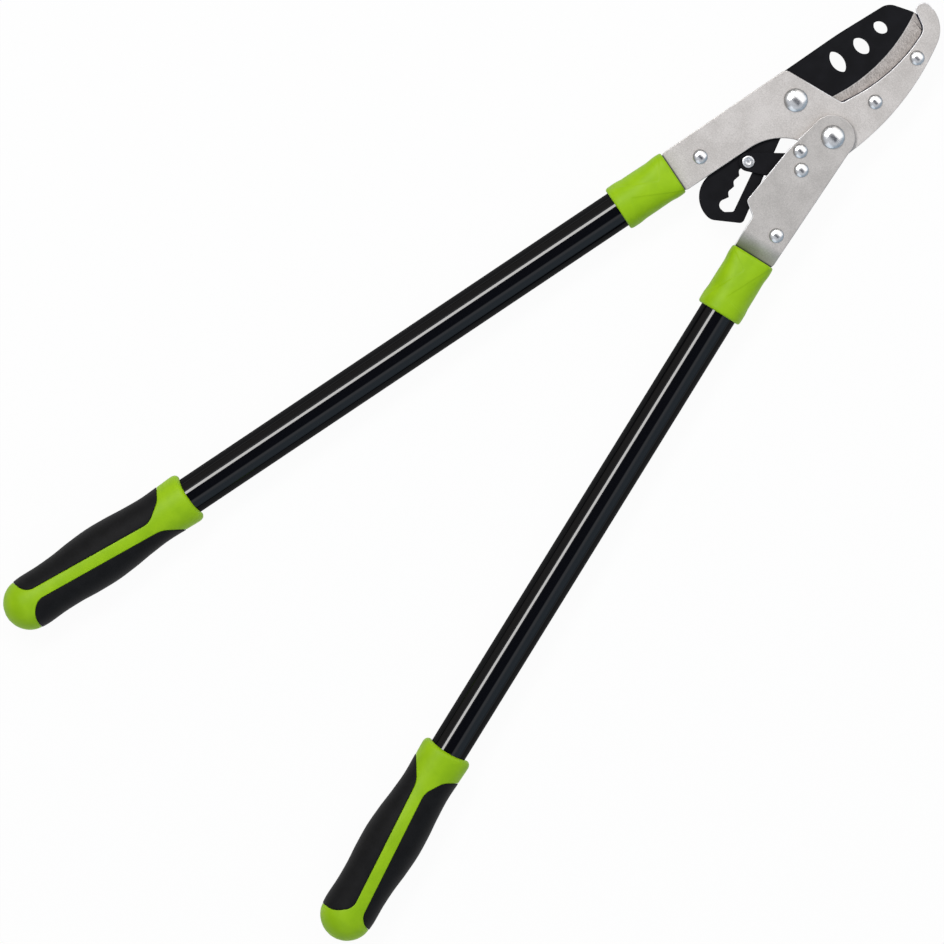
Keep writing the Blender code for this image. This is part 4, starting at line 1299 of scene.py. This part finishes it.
def travelled(profile):
    """The profile as rows (length along it, distance, half width)."""
    points = np.array(profile)
    steps = np.linalg.norm(np.diff(points, axis=0), axis=1)
    return np.column_stack([np.concatenate([[0.0], np.cumsum(steps)]), points])


GRIP_ROWS = travelled(GRIP_PROFILE)
MERIDIAN = np.array([(v, *through(GRIP_ROWS, v)) for v in np.linspace(0.0, GRIP_ROWS[-1, 0], 1200)])


def half_width(distance):
    return np.interp(distance, MERIDIAN[:, 1], MERIDIAN[:, 2])


def unrolled(angle, distance):
    """A point of the plane: angle round the grip times a mean radius, and length along it."""
    length = np.interp(distance, MERIDIAN[:, 1], MERIDIAN[:, 0])
    return np.column_stack([np.asarray(angle) * GRIP_ROLL, length])


def scoop(angle):
    """How far down the grip the rim of its mouth lies, at an angle round it."""
    return MOUTH_SCOOP * np.abs(np.sin(angle)) ** 1.5


def rolled(points, height, grip_start):
    """Points of the plane back on the grip, lifted off its surface by a height."""
    angle, v = points[:, 0] / GRIP_ROLL, points[:, 1]
    distance, half = (np.interp(v, MERIDIAN[:, 0], MERIDIAN[:, axis]) for axis in (1, 2))
    reach = half + height
    sunk = scoop(angle) * np.maximum(0.0, 1.0 - distance / SCOOP_REACH)
    return np.column_stack([reach * np.cos(angle), -(grip_start + distance + sunk),
                            GRIP_FLATTENING * reach * np.sin(angle)])


print("the grip's profile is", round(GRIP_ROWS[-1, 0], 1), "mm long")

# %% [markdown]
# ## The panels' borders
#
# Seen from the front, each panel ends in a rounded outline, and the rear is the same, so a
# border is the outline wherever it lies on the grip, followed round the side and back again.
# Points are spread along it evenly.

# %% Borders on the plane
BAND_HALF, BAND_MEASURED = 4.2, (39.0, 113.0)
BORDER_SPACING, DENSE_SPACING = 0.8, 0.02   # between the points kept, and on the way there
SILHOUETTE = 0.9999             # share of the half width that a border may reach


def band_offset(handle, distance):
    """The middle of the green band, from the axis towards the other handle."""
    start, end = BAND_MEASURED
    return handle.band[0] + (handle.band[1] - handle.band[0]) * (distance - start) / (end - start)


def panel_outline(handle, which):
    """(across, along) points of a panel's border seen from the front, from its start to its end."""
    def edge(distance):
        return BAND_HALF + band_offset(handle, distance) * (-1 if which == "outer" else 1)

    beyond = 24.0               # outside the grip
    if which == "outer":
        corners = [(11.7, beyond, 0), (20.5, 9.0, 12.0), (32.5, edge(32.5), 12.0),
                   (124.6, edge(124.6), 9.0), (129.5, beyond, 0)]
    else:
        corners = [(3.4, beyond, 0), (28.5, edge(28.5), 18.0),
                   (120.5, edge(120.5), 9.0), (128.6, 9.3, 12.0), (127.4, beyond, 0)]
    return rounded([(across, along, radius) for along, across, radius in corners])


def spread(points, spacing):
    """Points spread evenly along a closed line."""
    closed = np.vstack([points, points[:1]])
    run = np.concatenate([[0.0], np.cumsum(np.linalg.norm(np.diff(closed, axis=0), axis=1))])
    stations = np.linspace(0.0, run[-1], int(run[-1] / spacing) + 1)[:-1]
    return np.column_stack([np.interp(stations, run, closed[:, axis]) for axis in (0, 1)])


def border(handle, which):
    """A panel's closed border on the plane, with angle 0 in the middle of the panel's side."""
    outline = np.array(panel_outline(handle, which))
    dense = []
    for first, second in zip(outline, outline[1:]):
        count = max(2, int(np.linalg.norm(second - first) / DENSE_SPACING))
        dense.append(first + (second - first) * np.linspace(0.0, 1.0, count, endpoint=False)[:, None])
    across, along = np.vstack(dense).T
    on_grip = across < half_width(along) * SILHOUETTE
    across, along = across[on_grip], along[on_grip]
    angle = np.arccos(np.clip(across / half_width(along), -1.0, 1.0))
    front, rear = unrolled(angle, along), unrolled(-angle, along)
    return spread(np.vstack([front, rear[::-1]]), BORDER_SPACING)


def on_its_side(handle, which, points):
    """Points of a panel's plane, carried to the panel's own side of the grip."""
    side = handle.outward if which == "outer" else -handle.outward
    if side > 0:
        return points
    return np.column_stack([math.pi * GRIP_ROLL - points[:, 0], points[:, 1]])


BORDERS = {(handle.letter, which): border(handle, which)
           for handle in HANDLES for which in ("inner", "outer")}
print("points round the panels:", [len(points) for points in BORDERS.values()])

# %% [markdown]
# ## Triangles that follow a border
#
# A constrained triangulation takes loops and loose points and keeps every loop's edges. Loops
# offset from the border by fractions of a millimetre carry the small profile across it: the
# panel's rounded lip, the thin groove, and the pocket in the core below the panel.

# %% Triangulating
def distance_to(points, loop):
    """Distance from each point to a closed line, negative inside it."""
    ends = np.roll(loop, -1, axis=0)
    run = ends - loop
    inside = np.zeros(len(points), dtype=bool)
    nearest = np.full(len(points), 1e9)
    for (x0, y0), (dx, dy), y1 in zip(loop, run, ends[:, 1]):
        t = np.clip(((points[:, 0] - x0) * dx + (points[:, 1] - y0) * dy) / (dx * dx + dy * dy), 0.0, 1.0)
        nearest = np.minimum(nearest, np.hypot(points[:, 0] - x0 - t * dx, points[:, 1] - y0 - t * dy))
        crosses = (y0 > points[:, 1]) != (y1 > points[:, 1])
        with np.errstate(divide="ignore", invalid="ignore"):
            at = x0 + (points[:, 1] - y0) * dx / dy
        inside ^= crosses & (points[:, 0] < at)
    return np.where(inside, -nearest, nearest)


def offset(loop, amount):
    """A closed line moved outwards (or inwards, when negative) by an amount."""
    return np.array(inset([tuple(p) for p in loop], -amount))


def lattice(low, high, spacing):
    """Staggered points that fill a box of the plane."""
    points = []
    for row, v in enumerate(np.arange(low[1], high[1], spacing * 0.87)):
        shift = 0.5 * spacing * (row % 2)
        points.append([(u, v) for u in np.arange(low[0] + shift, high[0], spacing)])
    return np.vstack(points)


def triangulate(around, loops, loose):
    """Triangles inside a closed line, over loops and loose points of the plane."""
    points, edges = [], []
    for loop in loops:
        start = len(points)
        points += [Vector(p) for p in loop]
        edges += [(start + k, start + (k + 1) % len(loop)) for k in range(len(loop))]
    points += [Vector(p) for p in loose]
    found = delaunay_2d_cdt(points, edges, [], 0, 1e-5)
    points, triangles = np.array([tuple(p) for p in found[0]]), np.array(found[2])
    return points, triangles[distance_to(points[triangles].mean(axis=1), around) < 0.0]


print("triangulation ready")

# %% [markdown]
# ## The soft panels
#
# A panel is the part of the plane inside its border. Its lip drops in a small round towards the
# groove, and Solidify gives the sheet its thickness, which is less than the pocket is deep.

# %% Soft panels
PANEL_LIP = [(0.0, -0.34), (0.1, -0.16), (0.28, -0.05), (0.6, 0.0)]     # inside the border, height
PANEL_THICKNESS = 1.0
GRID, CLEAR = 1.3, 0.6          # between loose points, and from a loop to the nearest of them


def panel(handle, which):
    """A soft panel: an outer face with a rounded lip, given its thickness by Solidify."""
    loop = BORDERS[handle.letter, which]
    loose = lattice(loop.min(axis=0), loop.max(axis=0), GRID)
    loose = loose[distance_to(loose, loop) < -PANEL_LIP[-1][0] - CLEAR]
    points, triangles = triangulate(loop, [offset(loop, -inwards) for inwards, _ in PANEL_LIP], loose)
    height = np.interp(-distance_to(points, loop), *zip(*PANEL_LIP))
    skin = rolled(on_its_side(handle, which, points), height, handle.grip)
    mesh = solid(f"soft_panel_{which}_{handle.letter}", skin, triangles.tolist())
    made = piece(mesh, handle.body, [f"grip_panel_{which}_{handle.letter}"], [SOFT_RUBBER],
                 handle.matrix, sharp=50.0)
    wall = made.modifiers.new("wall", "SOLIDIFY")
    wall.thickness, wall.offset = PANEL_THICKNESS * MM, -1.0
    return made


for handle in HANDLES:
    for which in ("inner", "outer"):
        made = panel(handle, which)
        print(made.name, len(made.data.polygons), "triangles")

# %% [markdown]
# ## The core's skin
#
# The core's whole skin is one unrolled sheet, closed along a seam on the rear. The seam leans
# with the green band, so that it crosses no panel.

# %% The core's unrolled sheet
CORE_COLUMNS, CORE_ROWS = 92, 126
SEAM_CLEAR = (25.0, 122.0)      # the stretch of the grip in which the seam leans with the green band
LENGTH_ROUND, TURN_ROUND = GRIP_ROWS[-1, 0], 2 * math.pi * GRIP_ROLL


def seam_lean(v, handle):
    """How far the seam leans with the green band at each length, so that it crosses no panel."""
    distance = np.interp(v, MERIDIAN[:, 0], MERIDIAN[:, 1])
    inwards = band_offset(handle, np.clip(distance, *SEAM_CLEAR))
    return -handle.outward * np.arcsin(inwards / half_width(np.clip(distance, *SEAM_CLEAR))) * GRIP_ROLL


def core_sheet(handle):
    """The sheet's closed edge, and staggered points inside it."""
    up = np.linspace(0.0, LENGTH_ROUND, CORE_ROWS + 1)
    across = np.linspace(0.0, TURN_ROUND, CORE_COLUMNS + 1)
    left = np.column_stack([-math.pi / 2 * GRIP_ROLL + seam_lean(up, handle), up])
    right = left + (TURN_ROUND, 0.0)
    mouth = [(left[0, 0] + u, up[0]) for u in across[:-1]]
    far = [(left[-1, 0] + u, up[-1]) for u in across[-2:0:-1]]
    loose = []
    for row, (x, v) in enumerate(left[1:-1]):
        shift = (0.25 if row % 2 else -0.25) * across[1]
        loose += [(x + u, v) for u in across[1:-1] + shift]
    return np.vstack([mouth, right, far, left[:0:-1]]), np.array(loose)


print("the sheet is", round(TURN_ROUND, 1), "mm wide and", round(LENGTH_ROUND, 1), "mm long")

# %% [markdown]
# ## The grips' green cores
#
# Where a panel lies the skin drops into a pocket, with a thin groove left round the panel. The
# mouth turns in to the bore that holds the tube, and the far end closes in a small flat cap.

# %% Green cores
CORE_DROP = 0.22                # the green stands this much below the panels
GROOVE, POCKET_DEPTH = 0.22, 1.7
# Outside the border, height
CORE_LIP = [(0.16, -POCKET_DEPTH), (GROOVE, -CORE_DROP - 0.18), (0.4, -CORE_DROP - 0.06), (0.8, -CORE_DROP)]
BORE, BORE_DEPTH = TUBE_RADIUS + GAP, TUBE_IN_GRIP + GAP
BORE_RINGS = [(BORE + 0.35, 0.1), (BORE, 0.45), (BORE, BORE_DEPTH)]     # radius, depth
WELD = 0.002


def core_skin(handle):
    """The sheet rolled up, with a pocket for each panel: its points and triangles."""
    pockets = [on_its_side(handle, which, BORDERS[handle.letter, which]) for which in ("outer", "inner")]

    def past_pockets(points):
        return np.minimum(*(distance_to(points, pocket) for pocket in pockets))

    sheet, loose = core_sheet(handle)
    away = past_pockets(loose)
    loose = loose[(away > CORE_LIP[-1][0] + CLEAR) | (away < -CLEAR)]
    lips = [offset(pocket, outwards) for pocket in pockets for outwards, _ in CORE_LIP]
    points, triangles = triangulate(sheet, [sheet, *lips], loose)
    return rolled(points, np.interp(past_pockets(points), *zip(*CORE_LIP)), handle.grip), triangles


def sink_bore(shell, rim, grip_start):
    """Turns the mouth's rim, which is flattened as the grip is, in to the round bore and its floor."""
    flattening = GRIP_FLATTENING
    for radius, depth in BORE_RINGS:
        grown = bmesh.ops.extrude_edge_only(shell, edges=rim)["geom"]
        rim = [g for g in grown if isinstance(g, bmesh.types.BMEdge)]
        for vertex in {v for e in rim for v in e.verts}:
            angle = math.atan2(vertex.co.z / flattening, vertex.co.x)
            sunk = 0.0 if depth == BORE_DEPTH else scoop(angle)
            vertex.co = (radius * math.cos(angle), -(grip_start + depth + sunk), radius * math.sin(angle))
        flattening = 1.0
    bmesh.ops.contextual_create(shell, geom=rim)


def core(handle):
    """The green core: its skin, welded along the seam and closed by the bore and a small cap."""
    points, triangles = core_skin(handle)
    shell = bmesh.new()
    corners = [shell.verts.new(p) for p in points]
    for triangle in triangles.tolist():
        shell.faces.new([corners[k] for k in triangle])
    bmesh.ops.remove_doubles(shell, verts=shell.verts[:], dist=WELD)
    rims = [e for e in shell.edges if e.is_boundary]
    mouth = [e for e in rims if -(sum(v.co.y for v in e.verts) / 2 + handle.grip) < LENGTH_ROUND / 2]
    bmesh.ops.contextual_create(shell, geom=[e for e in rims if e not in mouth])
    sink_bore(shell, mouth, handle.grip)
    bmesh.ops.recalc_face_normals(shell, faces=shell.faces)
    mesh = bpy.data.meshes.new(f"green_core_{handle.letter}")
    shell.to_mesh(mesh)
    open_edges = sum(1 for e in shell.edges if not e.is_manifold)
    shell.free()
    piece(mesh, handle.body, [f"grip_core_{handle.letter}"], [GREEN_PLASTIC],
          handle.matrix, sharp=40.0)
    print(mesh.name, len(mesh.polygons), "faces,", open_edges, "open edges")


for handle in HANDLES:
    core(handle)

# %% [markdown]
# ## Pieces that stay as they are
#
# The anvil's bar, the spacers, the spring and the cross pins are mostly hidden, and their CAD
# shapes are right. They keep their meshes and only get a finish in their material slots.

# %% Carried over pieces
SPRING_PIECES = ["main_pivot_spacer", "lever_rivet_spacer", "link_pivot_spacer", "anvil_tang_spacer",
                 "lever_tang_spacer", "link_spring", "collar_pin_a", "collar_pin_b"]
CARRIED = {"anvil_insert": ANVIL_ALLOY, **dict.fromkeys(SPRING_PIECES, SPRING_STEEL)}
for name, look in CARRIED.items():
    for slot in frame["nodes"][name].material_slots:
        slot.material = look
print("kept:", ", ".join(CARRIED))

# %% [markdown]
# ## The floor
#
# The floor is white. Light Path lets the camera and reflections see it as plain white, and the
# rest of it still takes the tool's shadow.

# %% The floor
FLOOR_SHARE = 0.955             # how much of the floor is plain white, the rest taking the shadow
FLOOR_HALF, FLOOR_DROP = 3.0, 0.0005        # metres


def white_floor():
    finish = Finish("white_floor")
    rays = [finish.node("ShaderNodeLightPath", output=f"Is {kind} Ray")
            for kind in ("Camera", "Glossy", "Transmission")]
    seen = rays[0].math("MAXIMUM", rays[1]).math("MAXIMUM", rays[2])
    plain = finish.node("ShaderNodeBsdfDiffuse", {"Color": (0.85, 0.85, 0.85, 1.0)})
    bright = finish.node("ShaderNodeEmission")
    mixed = finish.node("ShaderNodeMixShader", {0: seen * FLOOR_SHARE, 1: plain, 2: bright})
    finish.feed(finish.tree.nodes["Material Output"].inputs["Surface"], mixed)
    return finish.material


def floor():
    corners = [(x * FLOOR_HALF, y * FLOOR_HALF, 0.0) for x, y in ((-1, -1), (1, -1), (1, 1), (-1, 1))]
    mesh = bpy.data.meshes.new("floor")
    mesh.from_pydata(corners, [], [(0, 1, 2, 3)])
    mesh.materials.append(white_floor())
    made = bpy.data.objects.new("floor", mesh)
    made.location.z = cad_box[0][2] - FLOOR_DROP
    bpy.context.scene.collection.objects.link(made)


floor()
print("the floor lies", FLOOR_DROP / MM, "mm below the tool")

# %% [markdown]
# ## The lamps
#
# A long soft box hangs to the left and draws the thin line along the tubes. Tubes never mirror
# what lies beyond their ends, so two lamps there light up the rivets' domes and leave the tubes
# black.

# %% Lamps
AIM = TO_WORLD @ Vector((-10.0, -230.0, 0.0))


def soft_box(name, direction, distance, size, radiance, colour):
    """A rectangular lamp that faces the tool's middle, of a given width across and length along it."""
    data = bpy.data.lights.new(name, "AREA")
    data.shape, data.size, data.size_y = "RECTANGLE", *size
    data.energy = radiance * math.pi * size[0] * size[1]
    data.color = colour
    made = bpy.data.objects.new(name, data)
    way = Vector(direction).normalized()
    made.location = AIM + way * distance
    across = Vector((0.0, 1.0, 0.0)).cross(way).normalized()
    made.rotation_euler = Matrix((across, way.cross(across), way)).transposed().to_euler()
    bpy.context.scene.collection.objects.link(made)


soft_box("key", (-0.98, 0.22, 1.63), distance=2.6, size=(0.66, 1.9),
         radiance=9.0, colour=(1.0, 0.985, 0.96))
soft_box("far_end", (0.10, 1.0, 1.25), distance=1.7, size=(1.9, 1.1),
         radiance=0.9, colour=(1.0, 0.96, 0.92))
soft_box("near_end", (0.5, -1.0, 1.0), distance=1.9, size=(1.3, 0.9),
         radiance=0.55, colour=(0.86, 0.93, 1.0))
print("three lamps, all aimed at", [round(v, 3) for v in AIM])

# %% [markdown]
# ## The studio round the tool
#
# Walls and ceiling are pale, apart from a dark slot overhead that runs across the tool, which is
# all that the tubes' tops can mirror.

# %% The world
def studio_world():
    """Pale walls and ceiling, more daylight on the right, and a dark slot in the ceiling."""
    finish = Finish("studio", bpy.data.worlds)
    right, ahead, up = finish.axes(finish.node("ShaderNodeTexCoord", output="Generated"))
    walls = finish.mix((0.19, 0.18, 0.17), (0.27, 0.34, 0.41), finish.ramp(right, -0.3, 0.5))
    room = finish.mix(walls, (0.54, 0.56, 0.60), finish.ramp(up, 0.60, 0.80))
    over_tool = finish.ramp(right, -0.45, -0.30) * (1.0 - finish.ramp(right, 0.42, 0.55))
    over_tool = over_tool * finish.ramp(up, 0.5, 0.7)
    slot = over_tool * (1.0 - finish.ramp(ahead.math("ABSOLUTE"), 0.14, 0.26))
    sky = finish.mix(room, (0.020, 0.026, 0.045), slot)
    finish.feed(finish.tree.nodes["Background"].inputs["Color"], sky)
    bpy.context.scene.world = finish.material


studio_world()
bpy.context.scene.view_settings.view_transform = "Standard"
print("a studio stands round the tool")

# %% [markdown]
# ## The end
#
# The finished model has to be the CAD model's size.

# %% The end
import json
